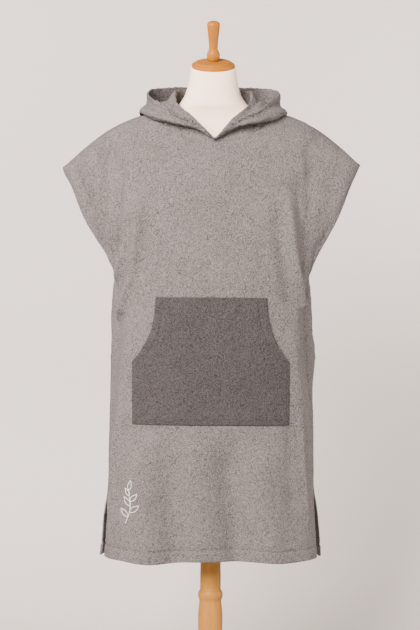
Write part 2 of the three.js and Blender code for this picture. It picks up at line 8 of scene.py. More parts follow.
import bpy
import numpy as np
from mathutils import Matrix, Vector


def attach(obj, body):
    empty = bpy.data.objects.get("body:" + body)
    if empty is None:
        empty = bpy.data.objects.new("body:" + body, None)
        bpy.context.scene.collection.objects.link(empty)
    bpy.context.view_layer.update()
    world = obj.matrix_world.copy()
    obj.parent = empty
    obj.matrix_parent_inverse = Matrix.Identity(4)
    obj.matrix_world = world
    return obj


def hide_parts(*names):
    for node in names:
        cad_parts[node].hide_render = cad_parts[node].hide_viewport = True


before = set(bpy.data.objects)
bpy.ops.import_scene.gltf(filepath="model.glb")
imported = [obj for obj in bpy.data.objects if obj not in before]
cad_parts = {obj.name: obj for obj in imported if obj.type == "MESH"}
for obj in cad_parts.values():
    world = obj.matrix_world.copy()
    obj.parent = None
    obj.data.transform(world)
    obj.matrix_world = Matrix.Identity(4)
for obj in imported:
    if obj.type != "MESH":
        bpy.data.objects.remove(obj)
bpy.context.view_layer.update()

bl_info = {
    "name": "Hooded Bath Poncho",
    "version": (1, 0, 0),
    "blender": (4, 5, 0),
    "location": "3D View > Sidebar > Poncho",
    "description": "Builds a hooded terry bath poncho, the dress form that carries it and a plain stage",
    "category": "Object",
}

MM = 0.001
BODY = "root"
SEAM_GAP = 0.3

# Heights along the side of the garment, and the neckline
TIP_Z = 1254
UNDERARM_Z = 930
SLIT_TOP_Z = 496
HEM_Z = 337
NECK_POINT_Z = 1393
V_POINT_Z = 1312
NECK_SHARE = 0.33
HALF_CUT = 385

# The shoulder seam: which share of the panel's half width lies on it at each height
SHOULDER = [
    {"z": 1254, "share": 1},
    {"z": 1300, "share": 0.84},
    {"z": 1343, "share": 0.68},
    {"z": 1368, "share": 0.545},
    {"z": 1393, "share": 0.33},
]

# Level sections of the front: half width, where its side edge and its middle lie, and how round it is
FRONT_SECTIONS = [
    {"z": 337, "width": 250, "edge_x": 250, "edge_y": 40, "face_y": -103, "round": 0.66},
    {"z": 505, "width": 241, "edge_x": 242, "edge_y": 31, "face_y": -113, "round": 0.7},
    {"z": 600, "width": 240, "edge_x": 240, "edge_y": 25, "face_y": -119, "round": 0.74},
    {"z": 668, "width": 238, "edge_x": 235, "edge_y": 19, "face_y": -123, "round": 0.77},
    {"z": 742, "width": 233, "edge_x": 222, "edge_y": 8, "face_y": -126, "round": 0.8},
    {"z": 818, "width": 226, "edge_x": 209, "edge_y": -5, "face_y": -128, "round": 0.8},
    {"z": 900, "width": 219, "edge_x": 205, "edge_y": -19, "face_y": -129, "round": 0.8},
    {"z": 930, "width": 218, "edge_x": 208, "edge_y": -23, "face_y": -129, "round": 0.8},
    {"z": 1011, "width": 231, "edge_x": 231, "edge_y": -42, "face_y": -130, "round": 0.84},
    {"z": 1130, "width": 290, "edge_x": 295, "edge_y": -46, "face_y": -130, "round": 0.92},
    {"z": 1200, "width": 320, "edge_x": 324, "edge_y": -27, "face_y": -125, "round": 0.96},
    {"z": 1247, "width": 345, "edge_x": 347, "edge_y": 1, "face_y": -116, "round": 1},
    {"z": 1254, "width": 350, "edge_x": 350, "edge_y": 5, "face_y": -114, "round": 1},
    {"z": 1261, "width": 342, "edge_x": 342, "edge_y": 5, "face_y": -112, "round": 1},
    {"z": 1300, "width": 299, "edge_x": 299, "edge_y": 5, "face_y": -101, "round": 1},
    {"z": 1343, "width": 241, "edge_x": 241, "edge_y": 5, "face_y": -87, "round": 1},
    {"z": 1368, "width": 189, "edge_x": 189, "edge_y": 5, "face_y": -77, "round": 1},
    {"z": 1393, "width": 108, "edge_x": 108, "edge_y": 5, "face_y": -66, "round": 1},
]

# Level sections of the back, which swells out behind the side seam under the arm
BACK_SECTIONS = [
    {"z": 337, "width": 270, "edge_x": 262, "edge_y": 62, "face_y": 142, "round": 0.7},
    {"z": 430, "width": 261, "edge_x": 253, "edge_y": 49, "face_y": 139, "round": 0.72},
    {"z": 505, "width": 253, "edge_x": 242, "edge_y": 33, "face_y": 136, "round": 0.74},
    {"z": 600, "width": 251, "edge_x": 240, "edge_y": 25, "face_y": 131, "round": 0.76},
    {"z": 668, "width": 262, "edge_x": 235, "edge_y": 19, "face_y": 128, "round": 0.78},
    {"z": 742, "width": 276, "edge_x": 222, "edge_y": 8, "face_y": 125, "round": 0.8},
    {"z": 818, "width": 287, "edge_x": 209, "edge_y": -5, "face_y": 122, "round": 0.82},
    {"z": 900, "width": 284, "edge_x": 205, "edge_y": -19, "face_y": 119, "round": 0.84},
    {"z": 930, "width": 277, "edge_x": 208, "edge_y": -23, "face_y": 118, "round": 0.84},
    {"z": 972, "width": 270, "edge_x": 217, "edge_y": 4, "face_y": 117, "round": 0.85},
    {"z": 1011, "width": 250, "edge_x": 230, "edge_y": 34, "face_y": 116, "round": 0.86},
    {"z": 1130, "width": 288, "edge_x": 291, "edge_y": 52, "face_y": 112, "round": 0.92},
    {"z": 1200, "width": 316, "edge_x": 320, "edge_y": 37, "face_y": 108, "round": 0.96},
    {"z": 1247, "width": 344, "edge_x": 346, "edge_y": 9, "face_y": 105, "round": 1},
    {"z": 1254, "width": 350, "edge_x": 350, "edge_y": 5, "face_y": 104, "round": 1},
    {"z": 1261, "width": 342, "edge_x": 342, "edge_y": 5, "face_y": 103, "round": 1},
    {"z": 1300, "width": 299, "edge_x": 299, "edge_y": 5, "face_y": 98, "round": 1},
    {"z": 1343, "width": 241, "edge_x": 241, "edge_y": 5, "face_y": 91, "round": 1},
    {"z": 1368, "width": 189, "edge_x": 189, "edge_y": 5, "face_y": 83, "round": 1},
    {"z": 1393, "width": 108, "edge_x": 108, "edge_y": 5, "face_y": 72, "round": 1},
]


def fold(top_x, top_z, end_x, end_z, depth, width):
    """One straight fold: where it starts and ends, how far it stands out (or in, below 0), how wide."""
    return dict(top_x=top_x, top_z=top_z, end_x=end_x, end_z=end_z, depth=depth, width=width)


# The large folds of the front, left side first, then its softer creases
FRONT_FOLDS = [
    fold(-252, 1350, -240, 1000, -37, 34),
    fold(-308, 1330, -262, 1010, -20, 26),
    fold(306, 1330, 262, 1010, -10, 26),
    fold(250, 1350, 240, 1000, -14, 34),
    fold(-209, 1290, -231, 1010, -18, 14),
    fold(-186, 1150, -207, 940, -18, 13),
    fold(-171, 1200, -231, 700, 15, 16),
    fold(-208, 720, -233, 400, 6, 24),
    fold(-157, 650, -150, 200, 15, 42),
    fold(-100, 650, -80, 200, -8, 32),
    fold(-36, 640, -34, 250, 5, 30),
    fold(222, 1325, 238, 1110, -5, 15),
    fold(203, 1250, 220, 960, -14, 22),
    fold(172, 1210, 231, 720, 15, 14),
    fold(146, 1170, 184, 880, -7, 19),
    fold(186, 900, 211, 570, 5, 20),
    fold(36, 640, 74, 200, -20, 34),
    fold(112, 640, 152, 200, 13, 36),
    fold(181, 680, 194, 420, -8, 20),
]
FRONT_CREASES = [
    fold(-226, 1345, -262, 1255, -3.5, 9),
    fold(-243, 1330, -262, 1260, 3, 8),
    fold(-213, 1300, -222, 1180, 2.5, 7),
    fold(-203, 1262, -226, 930, 6, 11),
    fold(-214, 700, -238, 340, 7, 7),
    fold(-226, 700, -250, 340, -5, 9),
    fold(-130, 1250, -150, 1010, -2.5, 26),
    fold(-60, 1290, -74, 1060, 1.6, 30),
    fold(52, 1280, 70, 1090, -1.8, 28),
    fold(118, 1260, 128, 1090, 2.0, 24),
    fold(208, 1270, 219, 1090, 4, 9),
    fold(262, 1290, 280, 1190, -2.6, 14),
    fold(203, 690, 229, 400, 5, 7),
    fold(-196, 660, -204, 420, -3, 16),
    fold(-52, 520, -58, 300, -3, 22),
    fold(-112, 1370, -119, 1318, -3.4, 5),
    fold(-95, 1368, -100, 1312, -3.2, 5),
    fold(-71, 1362, -68, 1306, -2.6, 5),
    fold(89, 1368, 97, 1312, -3.2, 6),
    fold(105, 1370, 115, 1320, -2.6, 5),
]
BACK_FOLDS = [
    fold(-196, 1270, -222, 1000, -12, 14),
    fold(-168, 1220, -226, 700, 13, 17),
    fold(-136, 1120, -176, 820, -8, 18),
    fold(-150, 760, -172, 200, -12, 32),
    fold(-92, 820, -104, 200, 14, 38),
    fold(-18, 700, -30, 200, -13, 34),
    fold(54, 760, 62, 200, 12, 36),
    fold(204, 1265, 224, 1010, -11, 13),
    fold(170, 1210, 228, 720, 14, 16),
    fold(142, 1080, 186, 800, -8, 18),
    fold(132, 720, 146, 200, -13, 32),
    fold(194, 700, 210, 200, 9, 28),
]
BACK_CREASES = [
    fold(-228, 1340, -258, 1240, -3, 10),
    fold(-212, 1240, -226, 980, 4, 9),
    fold(-88, 1180, -112, 900, -2.5, 26),
    fold(20, 1150, 12, 820, 2.2, 30),
    fold(96, 1190, 118, 930, -2.4, 24),
    fold(216, 1250, 228, 990, 4, 9),
    fold(240, 1330, 262, 1240, -3, 11),
    fold(10, 560, 14, 300, -4, 20),
]
FOLD_FADE = 0.22
V_PULL = 4
WING_X = 350
WING_LEFTWARD = 2.5
WING_TILT = 4.5
HEM_REACH_Z = 460
HEM_DROPS = [(-140, 7, 62), (172, 4, 48)]
BACK_CORNER_DROP = 7
HEM_SHARE = 0.036
HEM_ROWS = 16
HEM_LAYERS = 0.7
EDGE_CALM = 0.05
EDGE_POWER = 5
SECTION_STEPS = 112

# The hood, let down: at each angle from the V (0) to the centre back (180) its cloth rises from the neck seam
# to a crest by the neck, drops over a floor to the bag's bottom, and rises by its swell and waist to the rim
HOOD_PLACES = ("crest", "floor", "bottom", "swell", "waist", "rim")
HOOD_ROWS = [
    (0, (100.5, 1310.5), (103, 1310), (106, 1308.5), (108, 1308.5), (109, 1309), (109.5, 1310)),
    (27, (103, 1359), (110, 1352), (115.5, 1340.5), (122, 1342), (125.5, 1345.5), (125, 1350.5)),
    (45, (103, 1382), (117, 1368), (129, 1349), (141, 1353), (144, 1363), (142, 1376)),
    (62, (97, 1402), (121, 1390), (148, 1358), (161, 1366), (155, 1383), (148, 1399)),
    (85, (88, 1430), (124, 1400), (155, 1380), (168, 1379), (156, 1397), (151, 1420)),
    (105, (90, 1434), (125, 1397), (165, 1371), (175, 1377), (163, 1398), (159, 1431)),
    (125, (92, 1436), (120, 1378), (170, 1332), (187, 1364), (180, 1398), (168, 1447)),
    (150, (92, 1437), (114, 1362), (149, 1288), (184, 1352), (181, 1402), (168, 1456)),
    (180, (91, 1439), (111, 1354), (142, 1272), (182, 1344), (180, 1400), (166, 1459.5)),
]
RIM_AT = 5.5

# The pocket: a straight-sided lower half under two concave hand openings
POCKET_MIDDLE_X = -2
POCKET_TOP_Z = 945
POCKET_BEND_Z = 850
POCKET_CORNER_Z = 797
POCKET_BOTTOM_Z = 653
POCKET_TOP_HALF = 127
POCKET_BOTTOM_HALF = 180
POCKET_ROWS = 130
POCKET_COLUMNS = 156
POCKET_GAP = 1.2
POCKET_BILLOW = 2.4

# The dress form: level sections with half width, front and back depth, and the section's forward tilt
FORM_SECTIONS = [
    {"z": 720, "width": 158, "front": 88, "back": 92, "tilt": 0},
    {"z": 735, "width": 168, "front": 96, "back": 100, "tilt": 0},
    {"z": 800, "width": 172, "front": 100, "back": 104, "tilt": 0},
    {"z": 900, "width": 160, "front": 96, "back": 92, "tilt": 0},
    {"z": 1030, "width": 134, "front": 90, "back": 82, "tilt": 0},
    {"z": 1120, "width": 148, "front": 104, "back": 88, "tilt": 0},
    {"z": 1190, "width": 162, "front": 108, "back": 90, "tilt": 0},
    {"z": 1270, "width": 184, "front": 90, "back": 84, "tilt": 0},
    {"z": 1320, "width": 199.5, "front": 66, "back": 72, "tilt": 0},
    {"z": 1345, "width": 182.5, "front": 54, "back": 62, "tilt": 0},
    {"z": 1364.4, "width": 149, "front": 48, "back": 58, "tilt": 0},
    {"z": 1381, "width": 103, "front": 50, "back": 57, "tilt": 2},
    {"z": 1400, "width": 80, "front": 56, "back": 57, "tilt": 5},
    {"z": 1424, "width": 65, "front": 55, "back": 55, "tilt": 10},
    {"z": 1455, "width": 57, "front": 53, "back": 53, "tilt": 16},
    {"z": 1487, "width": 53, "front": 51, "back": 51, "tilt": 20},
]
FORM_ROUND = 0.9
# Where the cover's neck seam and centre front seam lie; the jersey is painted darker along them, as painted shade
# of the seam grooves.
COVER_SEAM_Z = 1.378
COVER_SEAM_X = 0.008
NECK_TOP_Z = 1487
NECK_TILT = np.radians(20)

# Turned wood: (radius, height above the piece's foot) along each profile
CAP_PROFILE = [(50, 0), (51, 2), (51, 6), (49.5, 8), (45, 9), (43.5, 12), (38, 14), (14, 15)]
HANDLE_PROFILE = [
    (12, 0), (14.8, 5), (15.7, 12), (14.8, 19), (10.8, 25.5), (10.2, 33),
    (11.8, 52), (13.6, 69), (15.3, 83), (15, 88), (12.6, 92), (6, 94),
]
POST_PROFILE = [
    (27, 28), (28.6, 164), (29.2, 195), (28, 216), (25.4, 234), (27.4, 239), (29.2, 245),
    (29.2, 251), (27.4, 257), (24, 260), (24.6, 290), (23.6, 330), (23.6, 719.4),
]
BASE_PROFILE = [(188, 0), (190, 3), (190, 14), (186, 20), (178, 23), (172, 28)]


# Shapes

def smooth_step(t):
    """3t^2 - 2t^3 between 0 and 1, flat outside."""
    t = np.clip(t, 0, 1)
    return t * t * (3 - 2 * t)


def bump(distance, width):
    """A bell curve of height 1: e to the minus (distance over width) squared."""
    return np.exp(-((distance / width) ** 2))


def hermite(start, end, start_slope, end_slope, t):
    """The cubic from start to end over t from 0 to 1, with the given slopes at its ends."""
    blend = 3 * t**2 - 2 * t**3
    return start * (1 - blend) + end * blend + start_slope * (t**3 - 2 * t**2 + t) + end_slope * (t**3 - t**2)


def read_table(rows, key, at):
    """Every column of a table at the key's values. Between two rows a column follows a cubic whose slope at
    a row is the harmonic mean of the slopes on both sides of it, or none where they differ in sign."""
    keys = np.array([row[key] for row in rows], float)
    at = np.clip(at, keys[0], keys[-1])
    low = np.clip(np.searchsorted(keys, at) - 1, 0, len(keys) - 2)
    span = keys[low + 1] - keys[low]
    t = (at - keys[low]) / span
    columns = {}
    for name in rows[0]:
        values = np.array([row[name] for row in rows], float)
        rise = np.diff(values) / np.diff(keys)
        total = np.where(rise[:-1] + rise[1:] == 0, 1, rise[:-1] + rise[1:])
        mean = np.where(rise[:-1] * rise[1:] > 0, 2 * rise[:-1] * rise[1:] / total, 0)
        slope = np.concatenate([rise[:1], mean, rise[-1:]])
        columns[name] = hermite(values[low], values[low + 1], slope[low] * span, slope[low + 1] * span, t)
    return columns


def row_lookup(inputs, outputs, wanted):
    """For each row of two tables of samples, the output where the rising input reaches the wanted value."""
    low = np.clip((inputs <= wanted[:, None]).sum(1) - 1, 0, inputs.shape[1] - 2)
    rows = np.arange(len(wanted))
    start, end = inputs[rows, low], inputs[rows, low + 1]
    t = np.clip((wanted - start) / np.maximum(end - start, 1e-9), 0, 1)
    return outputs[rows, low] * (1 - t) + outputs[rows, low + 1] * t


def half_sections(sections, z):
    """Half a level section for each height, from the panel's middle to its side edge. It is a superellipse,
    x = width sin(a)^round and y = edge + (face - edge) cos(a)^round, whose end is drawn to the edge point by
    the fifth power of the share of its length. Returns x, y and the length so far, a row for each height."""
    row = {name: values[:, None] for name, values in read_table(sections, "z", z).items()}
    angle = (1 - np.cos(np.linspace(0, np.pi, SECTION_STEPS + 1))) * np.pi / 4
    x = row["width"] * np.sin(angle) ** row["round"]
    y = row["edge_y"] + (row["face_y"] - row["edge_y"]) * np.clip(np.cos(angle), 0, 1) ** row["round"]
    steps = np.hypot(np.diff(x, axis=1), np.diff(y, axis=1))
    length = np.concatenate([np.zeros((len(z), 1)), np.cumsum(steps, axis=1)], axis=1)
    x = x + (row["edge_x"] - row["width"]) * (length / length[:, -1:]) ** EDGE_POWER
    return x, y, length


def body_points(panel, share, z):
    """Points of a body panel and its section's outward direction. share runs from -1 at the left edge to 1
    at the right one. Each fold moves the point outwards by its depth times a bell curve of the distance
    along the section, and fades in and out over its ends."""
    shape = np.broadcast(share, z).shape
    share = np.broadcast_to(share, shape).ravel()
    z = np.broadcast_to(z, shape).ravel().astype(float)
    side = np.where(share < 0, -1.0, 1.0)
    x, y, length = half_sections(panel["sections"], z)
    fraction = np.minimum(1, np.abs(share) / read_table(SHOULDER, "z", z)["share"])
    at = fraction * length[:, -1]
    middle = 0.5 * (length[:, 1:] + length[:, :-1])
    across = row_lookup(middle, np.diff(x, axis=1), at)
    inward = row_lookup(middle, np.diff(y, axis=1), at)
    norm = np.hypot(across, inward) + 1e-9
    out_x, out_y = inward / norm * panel["facing"] * -1, across / norm * panel["facing"]
    push = np.zeros(len(z))
    for row in panel["folds"]:
        along = (row["top_z"] - z) / (row["top_z"] - row["end_z"])
        inside = (along > 0) & (along < 1)
        if not inside.any():
            continue
        fold_x = row["top_x"] + (row["end_x"] - row["top_x"]) * along[inside]
        fold_at = np.sign(fold_x) * row_lookup(x[inside], length[inside], np.abs(fold_x))
        strength = smooth_step(along[inside] / FOLD_FADE) * smooth_step((1 - along[inside]) / FOLD_FADE)
        push[inside] += row["depth"] * strength * bump(side[inside] * at[inside] - fold_at, row["width"])
    push *= smooth_step((1 - fraction) / EDGE_CALM)
    points = np.stack([
        side * (row_lookup(length, x, at) + out_x * push),
        row_lookup(length, y, at) + out_y * push + panel["facing"] * SEAM_GAP / 2,
        z,
    ], axis=1)
    return points.reshape(*shape, 3)


def top_heights(panel, share):
    """The height of a panel's top edge: a straight neckline, then the shoulder seam where the table of the
    seam's shares reaches the column's share."""
    wide = np.abs(share)
    heights = np.linspace(TIP_Z, NECK_POINT_Z, 400)
    shares = read_table(SHOULDER, "z", heights)["share"]
    seam = np.interp(-wide, -shares, heights)
    neck = panel["neck_z"] + (NECK_POINT_Z - panel["neck_z"]) * wide / NECK_SHARE
    return np.where(wide < NECK_SHARE, neck, seam)


def grid_normals(grid, sign):
    """Unit normals of a grid of points: the cross product of its slopes across and down, times the sign."""
    across = np.gradient(grid, axis=1)
    down = np.gradient(grid, axis=0)
    normal = np.cross(across, down) * sign
    return normal / np.maximum(np.linalg.norm(normal, axis=2, keepdims=True), 1e-9)


def uneven(shape, cell, seed):
    """A smooth uneven field between about -1 and 1: random numbers on a coarse grid, with cubic steps
    between them. cell is the coarse grid's pitch in rows and columns."""
    rng = np.random.default_rng(seed)
    coarse = rng.uniform(-1, 1, (int(shape[0] / cell[0]) + 3, int(shape[1] / cell[1]) + 3))
    r, c = np.arange(shape[0]) / cell[0], np.arange(shape[1]) / cell[1]
    r0, c0 = r.astype(int), c.astype(int)
    tr, tc = smooth_step(r - r0)[:, None], smooth_step(c - c0)[None, :]
    top = coarse[np.ix_(r0, c0)] * (1 - tc) + coarse[np.ix_(r0, c0 + 1)] * tc
    low = coarse[np.ix_(r0 + 1, c0)] * (1 - tc) + coarse[np.ix_(r0 + 1, c0 + 1)] * tc
    return top * (1 - tr) + low * tr


def nap(shape, seed, height):
    """The towelling's uneven face: tufts of two sizes, each a random field, times the height."""
    return height * (0.6 * uneven(shape, (1.5, 1.5), seed) + 0.4 * uneven(shape, (4, 4), seed + 1))


# Meshes

def mesh_object(name, points, quads, uv=None):
    """An object whose mesh has these points, in millimetres, and these quads."""
    mesh = bpy.data.meshes.new(name)
    mesh.vertices.add(len(points))
    mesh.vertices.foreach_set("co", (np.asarray(points) * MM).astype(np.float32).ravel())
    mesh.loops.add(quads.size)
    mesh.loops.foreach_set("vertex_index", quads.astype(np.int32).ravel())
    mesh.polygons.add(len(quads))
    mesh.polygons.foreach_set("loop_start", np.arange(0, quads.size, 4, dtype=np.int32))
    mesh.polygons.foreach_set("use_smooth", np.ones(len(quads), bool))
    if uv is not None:
        layer = mesh.uv_layers.new(name="cut")
        layer.uv.foreach_set("vector", uv[quads.ravel()].astype(np.float32).ravel())
    mesh.update(calc_edges=True)
    mesh.validate()
    piece = bpy.data.objects.new(name, mesh)
    bpy.context.scene.collection.objects.link(piece)
    return piece


def grid_quads(rows, columns, sign, wrap=False):
    """The quads of a grid of points, counted row by row, facing the way of the sign. A wrapped grid joins
    its last column to its first."""
    r, c = np.meshgrid(np.arange(rows - 1), np.arange(columns if wrap else columns - 1), indexing="ij")
    r, c = r.ravel(), c.ravel()
    nxt = (c + 1) % columns
    quads = np.stack([r * columns + c, r * columns + nxt, (r + 1) * columns + nxt, (r + 1) * columns + c], 1)
    return quads if sign > 0 else quads[:, ::-1]


def wall_object(name, outer, inner, sign, uv):
    """A closed wall between an outer and an inner grid of points, with strips round its four edges."""
    rows, columns = outer.shape[:2]
    count = rows * columns
    index = np.arange(count).reshape(rows, columns)
    loop = np.concatenate([index[0, :-1], index[:-1, -1], index[-1, :0:-1], index[:0:-1, 0]])
    after = np.roll(loop, -1)
    rim = np.stack([after, loop, loop + count, after + count], 1)
    face = grid_quads(rows, columns, 1)
    quads = np.concatenate([face, face[:, ::-1] + count, rim])
    if sign < 0:
        quads = quads[:, ::-1]
    points = np.concatenate([outer.reshape(-1, 3), inner.reshape(-1, 3)])
    return mesh_object(name, points, quads, np.concatenate([uv.reshape(-1, 2)] * 2))


def finish_piece(piece, finish, slot, *nodes):
    """Gives a piece its material, rides it on the part's body and puts it in its nodes' place. The slot is not
    used.
    """
    piece.data.materials.append(finish)
    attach(piece, BODY)
    if nodes:
        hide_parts(*nodes)
    return piece


# Materials

class Signal:
    """A number on its way through a material: sums, differences, products and powers add Math nodes."""

    def __init__(self, finish, socket):
        self.finish = finish
        self.socket = socket

    def math(self, operation, first, second):
        node = self.finish.node("ShaderNodeMath", {"operation": operation}, {0: first, 1: second})
        return Signal(self.finish, node.outputs[0])

    def __add__(self, other):
        return self.math("ADD", self, other)

    __radd__ = __add__

    def __sub__(self, other):
        return self.math("SUBTRACT", self, other)

    def __rsub__(self, other):
        return self.math("SUBTRACT", other, self)

    def __mul__(self, other):
        return self.math("MULTIPLY", self, other)

    __rmul__ = __mul__

    def __pow__(self, other):
        return self.math("POWER", self, other)


class Finish:
    """A material with a Principled shader, and one way to add any other node to it."""

    def __init__(self, name, **values):
        self.material = bpy.data.materials.new(name)
        self.material.use_nodes = True
        self.tree = self.material.node_tree
        self.shader = self.tree.nodes["Principled BSDF"]
        for socket, value in values.items():
            self.shader.inputs[socket.replace("_", " ")].default_value = value

    def node(self, kind, settings=None, inputs=None):
        """Adds a node, sets its settings, then gives its sockets their values or links."""
        made = self.tree.nodes.new(kind)
        for name, value in (settings or {}).items():
            setattr(made, name, value)
        for name, value in (inputs or {}).items():
            self.feed(made.inputs[name], value)
        return made

    def feed(self, socket, value):
        if isinstance(value, Signal):
            value = value.socket
        if isinstance(value, bpy.types.NodeSocket):
            self.tree.links.new(value, socket)
        else:
            socket.default_value = value

    def place(self, kind="Object", scale=(1, 1, 1)):
        """Where a point lies on the piece, in metres, stretched by the scale."""
        where = self.node("ShaderNodeTexCoord").outputs[kind]
        return self.node("ShaderNodeMapping", None, {"Vector": where, "Scale": scale}).outputs[0]

    def noise(self, place, size, detail=2.0, roughness=0.5):
        """Smooth noise whose lumps are about the given size, in metres."""
        settings = {"Vector": place, "Scale": 1 / size, "Detail": detail, "Roughness": roughness}
        return Signal(self, self.node("ShaderNodeTexNoise", None, settings).outputs[0])

    def cells(self, place, size, feature="F1"):
        """How far a point lies from the nearest of the cell middles that are spread at the given pitch."""
        inputs = {"Vector": place, "Scale": 1 / size, "Randomness": 0.9}
        node = self.node("ShaderNodeTexVoronoi", {"feature": feature}, inputs)
        return Signal(self, node.outputs["Distance"])

    def line(self, value, middle, half_width):
        """1 where the value is at the middle, falling to 0 over the half width on both sides."""
        away = value.math("ABSOLUTE", value - middle, 0.0)
        return value.math("MAXIMUM", 1 - away * (1 / half_width), 0.0)

    def mix(self, factor, first, second):
        node = self.node("ShaderNodeMix", {"data_type": "RGBA"}, {0: factor, 6: first, 7: second})
        return node.outputs[2]

    def raise_by(self, height, distance, strength=1.0):
        """Feeds the shader's normal from a height, which stands for the given distance in metres."""
        inputs = {"Height": height, "Distance": distance, "Strength": strength}
        node = self.node("ShaderNodeBump", None, inputs)
        self.feed(self.shader.inputs["Normal"], node.outputs[0])


def shaded(colour, factor):
    """A colour with its red, green and blue times the factor, and full alpha."""
    return (*[channel * factor for channel in colour[:3]], 1)


def terry_finish(name, colour, contrast):
    """Cotton towelling: small loops lie close together in uneven clumps, with painted light at each loop's middle
    and painted shade between the loops.
    """
    finish = Finish(name, Roughness=0.95, Sheen_Weight=0.03, Sheen_Roughness=0.6, Specular_IOR_Level=0.05)
    place = finish.place()
    loops = finish.cells(place, 0.0034)
    tufts = finish.noise(place, 0.0025, 2.0, 0.6)
    clumps = finish.noise(place, 0.009, 2.0, 0.55)
    cloud = finish.noise(place, 0.07, 2.0, 0.5)
    # The loops term paints each loop's middle lighter and the gaps between loops darker: painted shade between the
    # loops. Tufts, clumps and cloud vary the tone at random.
    light = 0.5 + contrast * (1.4 * (0.5 - loops) + 5 * (tufts - 0.5) + 0.8 * (clumps - 0.5))
    light = light + contrast * 0.5 * (cloud - 0.5)
    ends = shaded(colour, 0.4), shaded(colour, 1.6)
    finish.feed(finish.shader.inputs["Base Color"], finish.mix(light, *ends))
    height = tufts * 0.9 + clumps * 0.7 - loops * 0.55
    finish.raise_by(height, 0.003, 1.0)
    return finish.material


def thread_finish(name, colour):
    """Twisted sewing thread: fine ridges across each stitch."""
    finish = Finish(name, Roughness=0.7, Sheen_Weight=0.3, Specular_IOR_Level=0.3)
    place = finish.place()
    strands = finish.noise(place, 0.0008, 2.0, 0.6)
    ends = shaded(colour, 0.86), shaded(colour, 1.08)
    finish.feed(finish.shader.inputs["Base Color"], finish.mix(strands, *ends))
    finish.raise_by(strands, 0.0003, 0.6)
    return finish.material


def jersey_finish(name, colour):
    """The form's cover: fine knit drawn tight, with barely any unevenness."""
    finish = Finish(name, Roughness=0.82, Sheen_Weight=0.12, Specular_IOR_Level=0.2)
    place = finish.place()
    knit = finish.noise(place, 0.0011, 2.0, 0.6)
    cloud = finish.noise(place, 0.05, 2.0, 0.5)
    apart = finish.node("ShaderNodeSeparateXYZ", None, {0: place})
    x, z = Signal(finish, apart.outputs["X"]), Signal(finish, apart.outputs["Z"])
    # Darker lines along the neck seam and the centre front seam below it: the seams are real, and their darkness is
    # painted shade of the seam grooves.
    neck = finish.line(z, COVER_SEAM_Z, 0.0012)
    middle = finish.line(x, COVER_SEAM_X, 0.0011) * z.math("LESS_THAN", z, COVER_SEAM_Z)
    light = 0.5 + 0.35 * (knit - 0.5) + 0.3 * (cloud - 0.5) - 0.7 * neck - 0.5 * middle
    finish.feed(finish.shader.inputs["Base Color"], finish.mix(light, shaded(colour, 0.9), shaded(colour, 1.02)))
    finish.raise_by(knit, 0.0003, 0.35)
    return finish.material


def wood_finish(name, colour, stretch):
    """Varnished beech: long grain streaks and short darker flecks along the stretched axis."""
    finish = Finish(name, Roughness=0.42, Coat_Weight=0.03, Coat_Roughness=0.3, Specular_IOR_Level=0.12)
    streaks = finish.noise(finish.place(scale=stretch), 0.006, 4.0, 0.6)
    flecks = finish.noise(finish.place(scale=stretch), 0.0016, 2.0, 0.5)
    broad = finish.noise(finish.place(scale=stretch), 0.02, 2.0, 0.5)
    light = 0.5 + 0.9 * (streaks - 0.5) + 0.5 * (flecks - 0.5) + 0.6 * (broad - 0.5)
    deep = (colour[0] * 0.74, colour[1] * 0.64, colour[2] * 0.5, 1)
    finish.feed(finish.shader.inputs["Base Color"], finish.mix(light, deep, shaded(colour, 1.18)))
    finish.feed(finish.shader.inputs["Roughness"], 0.3 + 0.2 * flecks)
    finish.raise_by(flecks, 0.0002, 0.4)
    return finish.material


def stage_finish(name, colour):
    """Matt paper, with a faint unevenness."""
    finish = Finish(name, Roughness=0.95, Specular_IOR_Level=0.1)
    cloud = finish.noise(finish.place(), 0.6, 1.0, 0.5)
    ends = shaded(colour, 0.99), shaded(colour, 1.01)
    finish.feed(finish.shader.inputs["Base Color"], finish.mix(cloud, *ends))
    return finish.material


# Sizes and colours that a user would change

class PonchoSizes(bpy.types.PropertyGroup):
    cloth: bpy.props.FloatProperty(
        name="Cloth", description="Thickness of the body's towelling", default=0.003, unit="LENGTH")
    hood_cloth: bpy.props.FloatProperty(
        name="Hood cloth", description="Thickness of the hood's towelling", default=0.0025, unit="LENGTH")
    nap: bpy.props.FloatProperty(
        name="Nap", description="How far the towelling's tufts stand out", default=0.0009, unit="LENGTH")
    hem: bpy.props.FloatProperty(
        name="Hem", description="Depth of the turned hem", default=0.027, unit="LENGTH")
    columns: bpy.props.IntProperty(
        name="Columns", description="Points across a body panel", default=200)
    rows: bpy.props.IntProperty(
        name="Rows", description="Points down a body panel", default=222)
    stitch: bpy.props.FloatProperty(
        name="Stitch", description="Length of a sewing stitch", default=0.0034, unit="LENGTH")
    thread: bpy.props.FloatProperty(
        name="Thread", description="Radius of the sewing thread", default=0.00045, unit="LENGTH")


